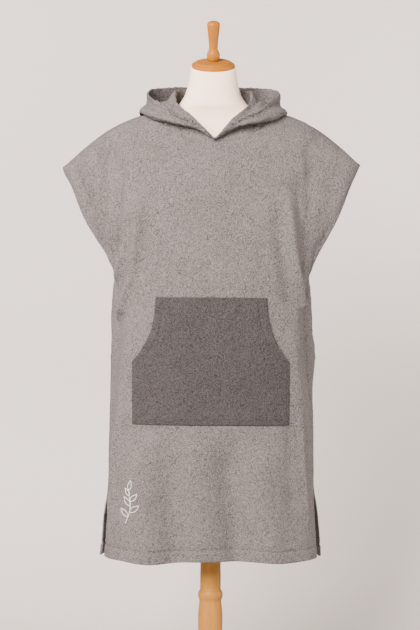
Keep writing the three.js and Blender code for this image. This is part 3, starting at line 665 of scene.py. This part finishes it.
class PonchoColours(bpy.types.PropertyGroup):
    terry: bpy.props.FloatVectorProperty(
        name="Towelling", description="Light grey of the body and hood", subtype="COLOR",
        default=(0.117, 0.1155, 0.1175))
    pocket: bpy.props.FloatVectorProperty(
        name="Pocket", description="Dark grey of the pocket", subtype="COLOR", default=(0.0455, 0.045, 0.0475))
    thread: bpy.props.FloatVectorProperty(
        name="Embroidery", description="Off-white of the stitched motif", subtype="COLOR",
        default=(0.72, 0.74, 0.74))
    cover: bpy.props.FloatVectorProperty(
        name="Form cover", description="Warm white of the form's jersey", subtype="COLOR",
        default=(0.95, 0.81, 0.65))
    wood: bpy.props.FloatVectorProperty(
        name="Wood", description="Honey colour of the varnished beech", subtype="COLOR",
        default=(0.29, 0.1195, 0.0107))
    # The post and base take the cap's beech made lighter and less saturated: painted light that offsets the shade
    # the skirt casts on the post.
    post: bpy.props.FloatVectorProperty(
        name="Post", description="Paler beech of the post and base", subtype="COLOR",
        default=(0.32, 0.162, 0.032))
    stage: bpy.props.FloatVectorProperty(
        name="Stage", description="Pale grey of the floor and backdrop", subtype="COLOR",
        default=(0.54, 0.549, 0.533))


class StageSizes(bpy.types.PropertyGroup):
    camera_x: bpy.props.FloatProperty(
        name="Camera X", description="How far the camera stands to the side", default=-0.0045, unit="LENGTH")
    camera_roll: bpy.props.FloatProperty(
        name="Camera roll", description="How far the camera leans about its view", default=-0.0055,
        subtype="ANGLE")
    camera_distance: bpy.props.FloatProperty(
        name="Camera distance", description="From the camera to the part's axis", default=4.5, unit="LENGTH")
    camera_height: bpy.props.FloatProperty(
        name="Camera height", description="Height of the level camera", default=0.905, unit="LENGTH")
    view_height: bpy.props.FloatProperty(
        name="View height", description="What the picture spans at the part's axis", default=1.4805,
        unit="LENGTH")


FRONT = {"sections": FRONT_SECTIONS, "folds": FRONT_FOLDS + FRONT_CREASES, "facing": -1, "neck_z": V_POINT_Z}
BACK = {"sections": BACK_SECTIONS, "folds": BACK_FOLDS + BACK_CREASES, "facing": 1, "neck_z": NECK_POINT_Z}
SENSOR_MM = 36
LIGHT_COLOUR = (1.0, 0.82, 0.75)
TERRY_CONTRAST = 0.45
SPRIG_RADIUS = 0.95


def body_columns(count):
    """Column shares from -1 to 1, closer together towards the side edges."""
    even = np.linspace(-1, 1, count)
    return np.sign(even) * (np.abs(even) * 1.35 - 0.35 * np.abs(even) ** 2.4)


def body_rows(count):
    """How far down its column each row lies, from 0 at the top to 1 at the hem, with HEM_ROWS in the hem."""
    above = 1 - HEM_SHARE
    return np.concatenate([np.linspace(0, above, count - HEM_ROWS), np.linspace(above, 1, HEM_ROWS + 1)[1:]])


def hung(points):
    """How a body point shifts where the garment hangs unevenly: the left wing drops and the right one
    rises, in proportion to how far out the point lies, the front's hem dips in bell curves, and the
    back's hem drops at its corners."""
    out = points[..., 0] / WING_X
    wing = smooth_step((points[..., 2] - 960) / 180)
    shift = np.zeros(points.shape)
    shift[..., 0] = -wing * WING_LEFTWARD * np.abs(out)
    shift[..., 2] = wing * WING_TILT * out
    low = smooth_step((HEM_REACH_Z - points[..., 2]) / (HEM_REACH_Z - HEM_Z)) * (points[..., 1] < 0)
    for middle, drop, width in HEM_DROPS:
        shift[..., 2] -= low * drop * bump(points[..., 0] - middle, width)
    corner = smooth_step((np.abs(points[..., 0]) - 240) / 40) * (points[..., 1] > 0)
    shift[..., 2] -= BACK_CORNER_DROP * corner * smooth_step((HEM_REACH_Z - points[..., 2]) / 100)
    return shift


def facing_line(x):
    """The height of the stitching that holds the neck's facing: an arc z = 1303 + 0.0027 x^2."""
    return 1303 + 0.0027 * x**2


def neck_pull(points):
    """How far the V hangs to the right of the middle: a bell curve about the V's point."""
    away = np.hypot(points[..., 0], points[..., 2] - V_POINT_Z)
    return V_PULL * bump(away, 75) * (points[..., 1] < 0)


def body_grid(panel, rows, columns, hem, nap_height, seed):
    """A body panel's outer points and how thick its cloth is there. Rows run from the top edge to the hem.
    The turned hems stand proud up to their stitch lines, which are drawn in, as the seams are."""
    share = body_columns(columns)[None, :]
    top = top_heights(panel, share)
    z = top + (HEM_Z - top) * body_rows(rows)[:, None]
    grid = body_points(panel, share, z)
    normal = grid_normals(grid, panel["facing"])
    above_hem, below_top = z - HEM_Z, top - z
    from_side = (1 - np.abs(share)) * HALF_CUT + 0 * z
    sewn = smooth_step((z - SLIT_TOP_Z + 6) / 12) * smooth_step((UNDERARM_Z + 14 - z) / 28)
    turned = smooth_step((hem + 1.5 - above_hem) / 3)
    lift = 0.9 * turned - 2.4 * bump(above_hem - hem, 2.6)
    lift = lift + (1 - sewn) * (0.6 * smooth_step((13 - from_side) / 3) - 0.9 * bump(from_side - 12, 2.2))
    lift = lift - sewn * 1.8 * bump(from_side - 5, 4)
    lift = lift - (np.abs(share) > NECK_SHARE) * 1.5 * bump(below_top - 5, 4)
    arc = facing_line(grid[..., 0])
    faced = smooth_step((128 - np.abs(grid[..., 0])) / 12) * (panel["facing"] < 0)
    lift = lift - faced * (1.8 * bump(z - arc, 3.6) + 1.3 * bump(z - arc + 12, 3.6))
    puckers = uneven(z.shape, (6, 3), seed + 6)
    lift = lift + 0.5 * puckers * bump(above_hem - hem, 9)
    lift = lift + 1.2 * uneven(z.shape, (26, 16), seed + 2) + 0.8 * uneven(z.shape, (11, 8), seed + 3)
    lift = lift + nap(z.shape, seed, nap_height)
    lift = lift * (1 - sewn * (1 - smooth_step(from_side / 6))) * smooth_step(below_top / 5)
    grid = grid + normal * lift[..., None]
    grid[..., 0] += neck_pull(grid)
    grid = grid + hung(grid)
    return grid, 1 + HEM_LAYERS * turned


@lru_cache(maxsize=1)
def body_walls(rows, columns, hem, nap_height, cloth):
    """The front's and the back's outer and inner grids. Both walls run the same way along the seams they
    share, where the direction of the wall is the mean of the two panels' normals."""
    grids = [body_grid(FRONT, rows, columns, hem, nap_height, 11)]
    grids.append(body_grid(BACK, rows, columns, hem, nap_height, 47))
    normals = [grid_normals(grids[0][0], -1), grid_normals(grids[1][0], 1)]
    side_z = TIP_Z + (HEM_Z - TIP_Z) * body_rows(rows)
    sewn = np.zeros(normals[0].shape[:2], bool)
    sewn[0] = np.abs(body_columns(columns)) >= NECK_SHARE
    sewn[:, 0] = sewn[:, -1] = (side_z < UNDERARM_Z) & (side_z > SLIT_TOP_Z)
    shared = normals[0] + normals[1]
    shared = shared / np.maximum(np.linalg.norm(shared, axis=2, keepdims=True), 1e-6)
    walls = []
    for (outer, layers), normal in zip(grids, normals):
        way = np.where(sewn[..., None], shared, normal)
        walls.append((outer, outer - way * cloth * layers[..., None]))
    return walls


def scene_walls(context):
    """The body's walls at the sizes that the scene holds."""
    sizes = context.scene.poncho_sizes
    return body_walls(sizes.rows, sizes.columns, round(sizes.hem / MM, 3), round(sizes.nap / MM, 3),
                      round(sizes.cloth / MM, 3))


def read_grid(grid, row, column):
    """Points of a grid at parts of rows and columns, drawn straight between its four nearest points."""
    row = np.clip(row, 0, grid.shape[0] - 1.001)
    column = np.clip(column, 0, grid.shape[1] - 1.001)
    r, c = row.astype(int), column.astype(int)
    tr, tc = (row - r)[..., None], (column - c)[..., None]
    upper = grid[r, c] * (1 - tc) + grid[r, c + 1] * tc
    lower = grid[r + 1, c] * (1 - tc) + grid[r + 1, c + 1] * tc
    return upper * (1 - tr) + lower * tr


class Draped:
    """A finished body panel, read at any share and height, or at any place as seen from the front."""

    def __init__(self, panel, outer):
        self.panel = panel
        self.grid = outer
        self.normals = grid_normals(outer, panel["facing"])
        self.downs = body_rows(outer.shape[0])
        self.shares = body_columns(outer.shape[1])

    def at(self, share, z):
        """The surface's points and unit normals."""
        share = np.asarray(share, float) + 0 * z
        top = top_heights(self.panel, share)
        row = np.interp((top - z) / (top - HEM_Z), self.downs, np.arange(len(self.downs)))
        column = np.interp(share, self.shares, np.arange(len(self.shares)))
        return read_grid(self.grid, row, column), read_grid(self.normals, row, column)

    def at_x(self, x, z):
        """The same, where x is given: the share is mended by what is missing until the point lies there."""
        share = x / HALF_CUT
        for _ in range(16):
            share = np.clip(share + (x - self.at(share, z)[0][..., 0]) / 420, -1, 1)
        return self.at(share, z)


def neck_seam(side, count):
    """The neck seam on one side, from the V to the centre back, on the panels' own top edges."""
    share = side * np.linspace(0, NECK_SHARE, count)
    forward = body_points(FRONT, share, top_heights(FRONT, share))
    behind = body_points(BACK, share, top_heights(BACK, share))[::-1]
    return np.concatenate([forward, behind[1:]])


def curve_through(points, steps):
    """A smooth curve through control points on axis 1: in each span a cubic whose slope at a control point
    is half the step between its neighbours. steps is the number of points in each span."""
    slopes = np.gradient(points, axis=1)
    slopes[:, 0] *= 0.5
    slopes[:, -1] *= 0.5
    spans = points.shape[1] - 1
    t = (np.arange(steps) / steps)[None, :, None]
    pieces = [
        hermite(points[:, i : i + 1], points[:, i + 1 : i + 2], slopes[:, i : i + 1], slopes[:, i + 1 : i + 2], t)
        for i in range(spans)
    ]
    return np.concatenate(pieces + [points[:, -1:]], axis=1)


def hood_grid(side):
    """Half the hood. Each row is one angle round the neck, and runs up from the neck seam through the
    profile's control points to the rim, in the plane through the form's axis at that angle."""
    seam = neck_seam(side, 72)
    radius = np.hypot(seam[:, 0], seam[:, 1])
    angle = np.arctan2(np.abs(seam[:, 0]), -seam[:, 1])
    rows = [
        {"angle": row[0]} | {f"{place}_{axis}": value
         for place, pair in zip(HOOD_PLACES, row[1:]) for axis, value in zip("rz", pair)}
        for row in HOOD_ROWS
    ]
    table = read_table(rows, "angle", np.degrees(angle))
    controls = [np.stack([radius, seam[:, 2] + SEAM_GAP], 1)]
    controls += [np.stack([table[f"{place}_r"], table[f"{place}_z"]], 1) for place in HOOD_PLACES]
    profile = curve_through(np.stack(controls, axis=1), 22)
    r, z = profile[..., 0], profile[..., 1]
    turn = angle[:, None]
    grid = np.stack([side * (r * np.sin(turn) + SEAM_GAP / 2), -r * np.cos(turn), z], axis=2)
    return grid, np.degrees(angle)


def hood_wall(side, cloth, nap_height, seed):
    """Half the hood: soft waves along its band, a fold that stands up beside the neck, a doubled rim with
    its stitch line, and the nap. Returns the outer and inner grids and the cut's coordinates."""
    grid, degrees = hood_grid(side)
    shape = grid.shape[:2]
    normal = grid_normals(grid, side)
    along = np.linspace(0, len(HOOD_PLACES), shape[1])[None, :]
    turn = degrees[:, None]
    calm = smooth_step(turn / 30) * smooth_step(along / 0.4) * (0.3 + 0.7 * smooth_step((180 - turn) / 8))
    lift = 2.4 * uneven(shape, (16, 20), seed + 1) + 1.2 * uneven(shape, (7, 9), seed + 2)
    rim = RIM_AT + 0.15 * (1 - smooth_step(turn / 50))
    turned = smooth_step((along - rim) / 0.06)
    inside = smooth_step((turn - 46) / 22) * smooth_step((128 - turn) / 20)
    lift = lift * calm - 0.8 * bump(along - rim, 0.05) * smooth_step(turn / 25)
    lift = lift + inside * (3 * bump(along - 1.98, 0.24) - 8 * bump(along - 1.52, 0.22))
    lift = lift + smooth_step((turn - 18) / 20) * smooth_step((100 - turn) / 30) * (
        3 * bump(along - 5.2, 0.45) - 5 * bump(along - 4.25, 0.35))
    lift = lift + nap(shape, seed, nap_height) * smooth_step(along / 0.15)
    outer = grid + normal * lift[..., None]
    normal = grid_normals(outer, side)
    outer[..., 0] += neck_pull(outer)
    for row in (0, -1):
        normal[row, :, 0] = 0
        normal[row] /= np.linalg.norm(normal[row], axis=1, keepdims=True)
    outer[-1, :, 0] = side * SEAM_GAP / 2
    layers = (1 + HEM_LAYERS * turned) * (0.35 + 0.65 * smooth_step(turn / 25))
    steps = np.linalg.norm(np.diff(grid, axis=1), axis=2)
    length = np.concatenate([np.zeros((shape[0], 1)), np.cumsum(steps, axis=1)], axis=1)
    walk = np.linalg.norm(np.diff(grid[:, 0], axis=0), axis=1)
    walked = np.concatenate([[0], np.cumsum(walk)])[:, None] + 0 * length
    uv = np.stack([side * walked, length], axis=2) * MM
    return outer, outer - normal * (cloth * layers)[..., None], uv


def pocket_half(z):
    """The pocket's half width: straight at the foot, then a quadratic Bezier curve up to the top corner,
    solved for its parameter at the height."""
    bend = POCKET_TOP_Z - 2 * POCKET_BEND_Z + POCKET_CORNER_Z
    fall = 2 * (POCKET_TOP_Z - POCKET_BEND_Z)
    t = (fall - np.sqrt(np.maximum(fall**2 - 4 * bend * (POCKET_TOP_Z - z), 0))) / (2 * bend)
    curve = POCKET_TOP_HALF + (POCKET_BOTTOM_HALF - POCKET_TOP_HALF) * t**2
    return np.where(z <= POCKET_CORNER_Z, POCKET_BOTTOM_HALF, curve)


def pocket_grid(front, nap_height):
    """The pocket's outer and inner points: the front's points moved out by the gap, a soft billow, the
    thickness at its turned edges and the dip of its stitch lines."""
    z = np.linspace(POCKET_TOP_Z, POCKET_BOTTOM_Z, POCKET_ROWS)[:, None] + np.zeros((1, POCKET_COLUMNS))
    across = np.linspace(-1, 1, POCKET_COLUMNS)[None, :]
    half = pocket_half(z)
    points, out = front.at_x(POCKET_MIDDLE_X + across * half, z)
    down = (POCKET_TOP_Z - z) / (POCKET_TOP_Z - POCKET_BOTTOM_Z)
    from_side = (1 - np.abs(across)) * half
    from_top, from_foot = POCKET_TOP_Z - z, z - POCKET_BOTTOM_Z
    opening = smooth_step((z - POCKET_CORNER_Z) / 8)
    lift = POCKET_GAP + POCKET_BILLOW * np.sin(np.pi * down) * smooth_step(1.4 * (1 - down))
    lift = lift * (opening + (1 - opening) * (0.5 + 0.5 * smooth_step(from_side / 24)))
    thick = 2.2 + 0.7 * opening * smooth_step((19 - from_side) / 3) + 0.4 * smooth_step((8 - from_foot) / 2)
    thick = thick + 0.5 * smooth_step((3.5 - from_top) / 2)
    lines = opening * 1.2 * bump(from_side - 18.5, 1.9) + 0.9 * bump(from_side - 4, 1.6) * (1 - opening)
    lines = lines + 1.2 * bump(from_top - 4.5, 1.8)
    lines = lines + 1.0 * bump(from_foot - 4, 1.5) + 1.0 * bump(from_foot - 9.5, 1.5)
    waves = 1.0 * uneven(z.shape, (22, 24), 71) + 0.6 * uneven(z.shape, (9, 10), 72)
    calm = smooth_step(from_foot / 14) * smooth_step(from_top / 10)
    outer = lift + thick + waves * (0.3 + 0.7 * calm) - lines + nap(z.shape, 73, nap_height)
    outer = outer - 0.8 * (1 - smooth_step(from_top / 3)) - 0.8 * (1 - smooth_step(from_foot / 3))
    outer = outer - 0.8 * (1 - smooth_step(from_side / 3))
    uv = np.stack([across * half, z], axis=2) * MM
    return points + out * outer[..., None], points + out * (0.6 * lift)[..., None], uv


def pocket_path(grid, across, z):
    """Points and normals of the pocket's outer grid where it is given shares of its half width."""
    row = (POCKET_TOP_Z - z) / (POCKET_TOP_Z - POCKET_BOTTOM_Z) * (POCKET_ROWS - 1)
    column = (across + 1) / 2 * (POCKET_COLUMNS - 1)
    normals = grid_normals(grid, -1)
    return read_grid(grid, row, column), read_grid(normals, row, column)


def stitch_run(path, out, sizes, radius=None, length=None, gap=0.9, sink=0.2):
    """Stitches along a path: each is a short thread that rises from the cloth, runs along it and dips in
    again. A stitch is a tube whose middle line is lifted by a sine and whose radius narrows at its ends."""
    radius = radius or sizes.thread / MM
    length = length or sizes.stitch / MM
    steps = np.linalg.norm(np.diff(path, axis=0), axis=1)
    along = np.concatenate([[0], np.cumsum(steps)])
    starts = np.arange(0, along[-1] - length, length + gap)
    rings, sides = 5, 5
    t = np.linspace(0, 1, rings)
    at = starts[:, None] + t[None, :] * length
    centre = np.stack([np.interp(at, along, path[:, k]) for k in range(3)], -1)
    up = np.stack([np.interp(at, along, out[:, k]) for k in range(3)], -1)
    up /= np.linalg.norm(up, axis=-1, keepdims=True)
    ahead = np.gradient(centre, axis=1)
    ahead /= np.maximum(np.linalg.norm(ahead, axis=-1, keepdims=True), 1e-9)
    beside = np.cross(ahead, up)
    centre = centre + up * (radius * (1.5 * np.sin(np.pi * t) - sink))[None, :, None]
    wide = radius * (0.35 + 0.65 * np.sin(np.pi * t) ** 0.5)
    turn = np.linspace(0, 2 * np.pi, sides, endpoint=False)
    ring = np.cos(turn)[:, None] * beside[:, :, None, :] + np.sin(turn)[:, None] * up[:, :, None, :]
    points = centre[:, :, None, :] + ring * wide[None, :, None, None]
    quads = grid_quads(rings, sides, 1, wrap=True)
    block = rings * sides
    return points.reshape(-1, 3), (quads[None] + (np.arange(len(starts)) * block)[:, None, None]).reshape(-1, 4)


def joined_runs(runs):
    """The points and quads of several runs of stitches as one mesh's."""
    points, quads, count = [], [], 0
    for run_points, run_quads in runs:
        points.append(run_points)
        quads.append(run_quads + count)
        count += len(run_points)
    return np.concatenate(points), np.concatenate(quads)


def lathe_object(name, profile, foot_z, segments=96, tilt=0.0, pivot_z=0.0):
    """A turned piece: its profile, with each corner cut twice at a quarter of its sides, goes round the
    axis. A tilted piece leans to the front about the pivot's height."""
    outline = np.array(profile, float)
    for _ in range(2):
        start, end = outline[:-1], outline[1:]
        cut = np.stack([0.75 * start + 0.25 * end, 0.25 * start + 0.75 * end], 1).reshape(-1, 2)
        outline = np.concatenate([outline[:1], cut, outline[-1:]])
    closed = np.concatenate([[[0.02, outline[0, 1]]], outline, [[0.02, outline[-1, 1]]]])
    turn = np.linspace(0, 2 * np.pi, segments, endpoint=False)
    x = closed[:, 0][:, None] * np.cos(turn)
    y = closed[:, 0][:, None] * np.sin(turn)
    z = closed[:, 1][:, None] + foot_z + 0 * turn
    away = z - pivot_z
    tilted_y = y * np.cos(tilt) - away * np.sin(tilt)
    tilted_z = y * np.sin(tilt) + away * np.cos(tilt) + pivot_z
    points = np.stack([x, tilted_y, tilted_z], axis=2).reshape(-1, 3)
    quads = grid_quads(len(closed), segments, 1, wrap=True)
    ends = [np.arange(segments)[::-1], np.arange(segments) + (len(closed) - 1) * segments]
    return mesh_object_with_ends(name, points, quads, ends)


def mesh_object_with_ends(name, points, quads, ends):
    """A mesh of quads closed by a polygon at each end."""
    mesh = bpy.data.meshes.new(name)
    faces = [tuple(quad) for quad in quads.tolist()] + [tuple(end.tolist()) for end in ends]
    mesh.from_pydata((points * MM).tolist(), [], faces)
    mesh.polygons.foreach_set("use_smooth", np.ones(len(faces), bool))
    mesh.update()
    piece = bpy.data.objects.new(name, mesh)
    bpy.context.scene.collection.objects.link(piece)
    return piece


class PONCHO_OT_body(bpy.types.Operator):
    """Makes the front and the back"""
    bl_idname = "poncho.body"
    bl_label = "Front and Back"

    def execute(self, context):
        sizes, colours = context.scene.poncho_sizes, context.scene.poncho_colours
        finish = terry_finish("grey towelling", colours.terry, TERRY_CONTRAST)
        share = body_columns(sizes.columns)[None, :]
        for name, panel, (outer, inner) in zip(("front", "back"), (FRONT, BACK), scene_walls(context)):
            top = top_heights(panel, share)
            z = top + (HEM_Z - top) * body_rows(sizes.rows)[:, None]
            uv = np.stack([share * HALF_CUT + 0 * z, z], axis=2) * MM
            piece = wall_object(name, outer, inner, panel["facing"], uv)
            finish_piece(piece, finish, "terry_grey", name + "_panel")
        return {"FINISHED"}


class PONCHO_OT_hood(bpy.types.Operator):
    """Makes the two halves of the hood, let down"""
    bl_idname = "poncho.hood"
    bl_label = "Hood"

    def execute(self, context):
        sizes = context.scene.poncho_sizes
        finish = bpy.data.materials["grey towelling"]
        for side, name, seed in ((-1, "hood_left", 21), (1, "hood_right", 33)):
            outer, inner, uv = hood_wall(side, sizes.hood_cloth / MM, sizes.nap / MM, seed)
            piece = wall_object(name + "_cloth", outer, inner, side, uv)
            finish_piece(piece, finish, "terry_grey", name)
        return {"FINISHED"}


class PONCHO_OT_pocket(bpy.types.Operator):
    """Makes the kangaroo pocket"""
    bl_idname = "poncho.pocket"
    bl_label = "Pocket"

    def execute(self, context):
        sizes, colours = context.scene.poncho_sizes, context.scene.poncho_colours
        finish = terry_finish("dark towelling", colours.pocket, TERRY_CONTRAST * 0.9)
        outer, inner, uv = pocket_grid(Draped(FRONT, scene_walls(context)[0][0]), sizes.nap / MM)
        piece = wall_object("pocket_cloth", outer, inner, -1, uv)
        finish_piece(piece, finish, "terry_dark", "pocket")
        return {"FINISHED"}


class PONCHO_OT_stitching(bpy.types.Operator):
    """Sews the hems, the neck's facing and the pocket"""
    bl_idname = "poncho.stitching"
    bl_label = "Stitching"

    def execute(self, context):
        sizes, colours = context.scene.poncho_sizes, context.scene.poncho_colours
        walls = scene_walls(context)
        front = Draped(FRONT, walls[0][0])
        t = np.linspace(0, 1, 500)
        hem, side = sizes.hem / MM, 1 - 12 / HALF_CUT
        paths = []
        for panel in (front, Draped(BACK, walls[1][0])):
            paths.append(panel.at((2 * t - 1) * side, HEM_Z + hem + 0 * t))
            for edge in (-side, side):
                paths.append(panel.at(edge, HEM_Z + 4 + (SLIT_TOP_Z - HEM_Z - 6) * t))
                paths.append(panel.at(edge, UNDERARM_Z + 12 + (TIP_Z - UNDERARM_Z - 26) * t))
        x = 124 * (2 * t - 1)
        paths.append(front.at_x(x, facing_line(x)))
        body = joined_runs([stitch_run(*path, sizes) for path in paths])
        finish = thread_finish("grey thread", shaded(colours.terry, 0.45))
        finish_piece(mesh_object("body_stitches", *body), finish, "terry_grey")
        pocket = pocket_grid(front, sizes.nap / MM)[0]
        half = pocket_half(POCKET_BOTTOM_Z + 0 * t)
        paths = [pocket_path(pocket, (2 * t - 1) * (1 - 5 / half), POCKET_BOTTOM_Z + up + 0 * t) for up in (4, 9.5)]
        top_half = pocket_half(POCKET_TOP_Z - 4.5 + 0 * t)
        paths.append(pocket_path(pocket, (2 * t - 1) * (1 - 4 / top_half), POCKET_TOP_Z - 4.5 + 0 * t))
        low = POCKET_BOTTOM_Z + 4 + (POCKET_CORNER_Z - POCKET_BOTTOM_Z - 4) * t
        high = POCKET_CORNER_Z + 6 + (POCKET_TOP_Z - POCKET_CORNER_Z - 10) * t
        for way in (-1, 1):
            paths.append(pocket_path(pocket, way * (1 - 4 / pocket_half(low)), low))
            paths.append(pocket_path(pocket, way * (1 - 18.5 / pocket_half(high)), high))
        sewn = joined_runs([stitch_run(*path, sizes) for path in paths])
        finish = thread_finish("dark thread", shaded(colours.pocket, 0.4))
        finish_piece(mesh_object("pocket_stitches", *sewn), finish, "terry_dark")
        return {"FINISHED"}


class PONCHO_OT_sprig(bpy.types.Operator):
    """Embroiders a plain leaf sprig near the hem"""
    bl_idname = "poncho.sprig"
    bl_label = "Sprig"

    def execute(self, context):
        sizes, colours = context.scene.poncho_sizes, context.scene.poncho_colours
        front = Draped(FRONT, scene_walls(context)[0][0])
        t = np.linspace(0, 1, 200)
        foot, tip = np.array([-197.0, 424.0]), np.array([-184.0, 502.0])
        stem = foot + (tip - foot) * t[:, None] + np.array([6.0, 0]) * np.sin(np.pi * t * 1.3)[:, None]
        outlines = [stem]
        for start, turn, length in ((0.2, 2.35, 25), (0.34, 0.62, 27), (0.52, 2.2, 25), (0.66, 0.8, 24),
                                    (0.82, 2.1, 19), (0.99, 1.38, 22)):
            base = stem[int(start * 199)]
            ahead = np.array([np.cos(turn), np.sin(turn)])
            beside = np.array([-ahead[1], ahead[0]])
            round_leaf = np.concatenate([t, t[::-1]])
            width = np.concatenate([np.sin(np.pi * t**0.8), -np.sin(np.pi * t[::-1] ** 0.8)]) * length * 0.2
            outlines.append(base + round_leaf[:, None] * length * ahead + width[:, None] * beside)
        runs = [
            stitch_run(*front.at_x(line[:, 0], line[:, 1]), sizes, radius=SPRIG_RADIUS, length=3.6, gap=0.15)
            for line in outlines
        ]
        finish = thread_finish("white thread", colours.thread)
        finish_piece(mesh_object("leaf_sprig", *joined_runs(runs)), finish, "terry_grey")
        return {"FINISHED"}


class PONCHO_OT_form(bpy.types.Operator):
    """Makes the dress form's covered torso and neck"""
    bl_idname = "poncho.form"
    bl_label = "Dress Form"

    def execute(self, context):
        finish = jersey_finish("form jersey", context.scene.poncho_colours.cover)
        z = np.linspace(FORM_SECTIONS[0]["z"], NECK_TOP_Z, 190)
        row = {name: values[:, None] for name, values in read_table(FORM_SECTIONS, "z", z).items()}
        turn = np.linspace(0, 2 * np.pi, 128, endpoint=False)[None, :]
        x = row["width"] * np.sign(np.cos(turn)) * np.abs(np.cos(turn)) ** FORM_ROUND
        deep = np.where(np.sin(turn) < 0, row["front"], row["back"])
        y = deep * np.sign(np.sin(turn)) * np.abs(np.sin(turn)) ** FORM_ROUND
        points = np.stack([x, y, row["z"] + y * np.tan(np.radians(row["tilt"]))], 2).reshape(-1, 3)
        quads = grid_quads(190, 128, 1, wrap=True)
        ends = [np.arange(128)[::-1], np.arange(128) + 189 * 128]
        piece = mesh_object_with_ends("form_cover", points, quads, ends)
        finish_piece(piece, finish, "form_cover", "form_torso")
        return {"FINISHED"}


class PONCHO_OT_wood(bpy.types.Operator):
    """Makes the turned wood: neck cap, handle, post and base"""
    bl_idname = "poncho.wood"
    bl_label = "Turned Wood"

    def execute(self, context):
        colours = context.scene.poncho_colours
        # The post and base use the lightened beech colour, painted light against the skirt's shade on the post.
        along_post = wood_finish("beech post", colours.post, (1, 1, 0.12))
        along_base = wood_finish("beech base", colours.post, (0.12, 1, 1))
        along_handle = wood_finish("beech handle", colours.wood, (1, 1, 0.12))
        across_cap = wood_finish("beech cap", colours.wood, (0.12, 1, 1))
        handle_foot = NECK_TOP_Z + 2 * SEAM_GAP + CAP_PROFILE[-1][1]
        for name, profile, foot, tilt, finish, node in (
            ("cap", CAP_PROFILE, NECK_TOP_Z + SEAM_GAP, NECK_TILT, across_cap, "neck_cap"),
            ("handle", HANDLE_PROFILE, handle_foot, NECK_TILT, along_handle, "cap_handle"),
            ("post", POST_PROFILE, SEAM_GAP, 0.0, along_post, "stand_post"),
            ("base", BASE_PROFILE, 0.0, 0.0, along_base, "stand_base"),
        ):
            piece = lathe_object(name, profile, foot, tilt=tilt, pivot_z=NECK_TOP_Z)
            finish_piece(piece, finish, "wood", node)
        return {"FINISHED"}


class PONCHO_OT_stage(bpy.types.Operator):
    """Makes the floor and backdrop, the light and the camera"""
    bl_idname = "poncho.stage"
    bl_label = "Stage"

    def execute(self, context):
        stage = context.scene.poncho_stage
        self.backdrop(context.scene.poncho_colours.stage)
        self.light("key", (-1.6, -3.6, 2.8), (0, 0, 0.95), 2.0, 830)
        self.light("wall_left", (-2.4, 0.2, 2.4), (0, 1.5, 1.1), 1.6, 70)
        self.light("wall_right", (2.4, 0.2, 1.2), (0.5, 1.5, 0.5), 1.6, 100)
        world = bpy.data.worlds.new("soft room")
        world.use_nodes = True
        background = world.node_tree.nodes["Background"]
        background.inputs["Color"].default_value = (*LIGHT_COLOUR, 1)
        background.inputs["Strength"].default_value = 0.45
        context.scene.world = world
        data = bpy.data.cameras.new("camera")
        data.sensor_width = SENSOR_MM
        data.lens = SENSOR_MM * stage.camera_distance / stage.view_height
        data.clip_end = 50
        camera = bpy.data.objects.new("camera", data)
        camera.location = (stage.camera_x, -stage.camera_distance, stage.camera_height)
        camera.rotation_euler = (np.pi / 2, stage.camera_roll, 0)
        context.scene.collection.objects.link(camera)
        context.scene.camera = camera
        return {"FINISHED"}

    def backdrop(self, colour):
        """The floor, and a strip of paper that curves up from it and stands behind the part, no wider or
        higher than the camera sees, so that the part shows from behind too."""
        finish = stage_finish("paper", colour)
        reach = np.array([-6000, 6000])
        self.sheet("floor", reach, reach, 0 * reach, finish)
        wall_y, bend, half, high = 1500, 700, 950, 2150
        turn = np.linspace(0, np.pi / 2, 24)
        y = np.concatenate([wall_y - bend + bend * np.sin(turn), [wall_y]])
        z = np.concatenate([bend - bend * np.cos(turn), [high]])
        self.sheet("backdrop", np.array([-half, half]), y, z, finish)

    def sheet(self, name, x, y, z, finish):
        """A surface of the stage: the outline of y and z, drawn out along x."""
        grid = np.stack(np.broadcast_arrays(x[None, :], y[:, None], z[:, None]), 2)
        piece = mesh_object(name, grid.reshape(-1, 3), grid_quads(len(y), len(x), 1))
        piece.data.materials.append(finish)

    def light(self, name, place, aim, size, power):
        """A square area light at a place, turned towards an aim."""
        data = bpy.data.lights.new(name, "AREA")
        data.size = size
        data.energy = power
        data.color = LIGHT_COLOUR
        lamp = bpy.data.objects.new(name, data)
        lamp.location = place
        way = Vector(aim) - Vector(place)
        lamp.rotation_euler = way.to_track_quat("-Z", "Y").to_euler()
        bpy.context.scene.collection.objects.link(lamp)


class PONCHO_PT_panel(bpy.types.Panel):
    """Lists the pieces in the sidebar"""
    bl_label = "Hooded Bath Poncho"
    bl_idname = "PONCHO_PT_panel"
    bl_space_type = "VIEW_3D"
    bl_region_type = "UI"
    bl_category = "Poncho"

    def draw(self, context):
        for step in STEPS:
            self.layout.operator("poncho." + step)


STEPS = ("body", "hood", "pocket", "stitching", "sprig", "form", "wood", "stage")
CLASSES = (
    PonchoSizes, PonchoColours, StageSizes, PONCHO_OT_body, PONCHO_OT_hood, PONCHO_OT_pocket,
    PONCHO_OT_stitching, PONCHO_OT_sprig, PONCHO_OT_form, PONCHO_OT_wood, PONCHO_OT_stage, PONCHO_PT_panel,
)


def register():
    for item in CLASSES:
        bpy.utils.register_class(item)
    bpy.types.Scene.poncho_sizes = bpy.props.PointerProperty(type=PonchoSizes)
    bpy.types.Scene.poncho_colours = bpy.props.PointerProperty(type=PonchoColours)
    bpy.types.Scene.poncho_stage = bpy.props.PointerProperty(type=StageSizes)


def unregister():
    for name in ("poncho_sizes", "poncho_colours", "poncho_stage"):
        delattr(bpy.types.Scene, name)
    for item in reversed(CLASSES):
        bpy.utils.unregister_class(item)


def main():
    register()
    for step in STEPS:
        getattr(bpy.ops.poncho, step)()


if __name__ == "__main__":
    main()
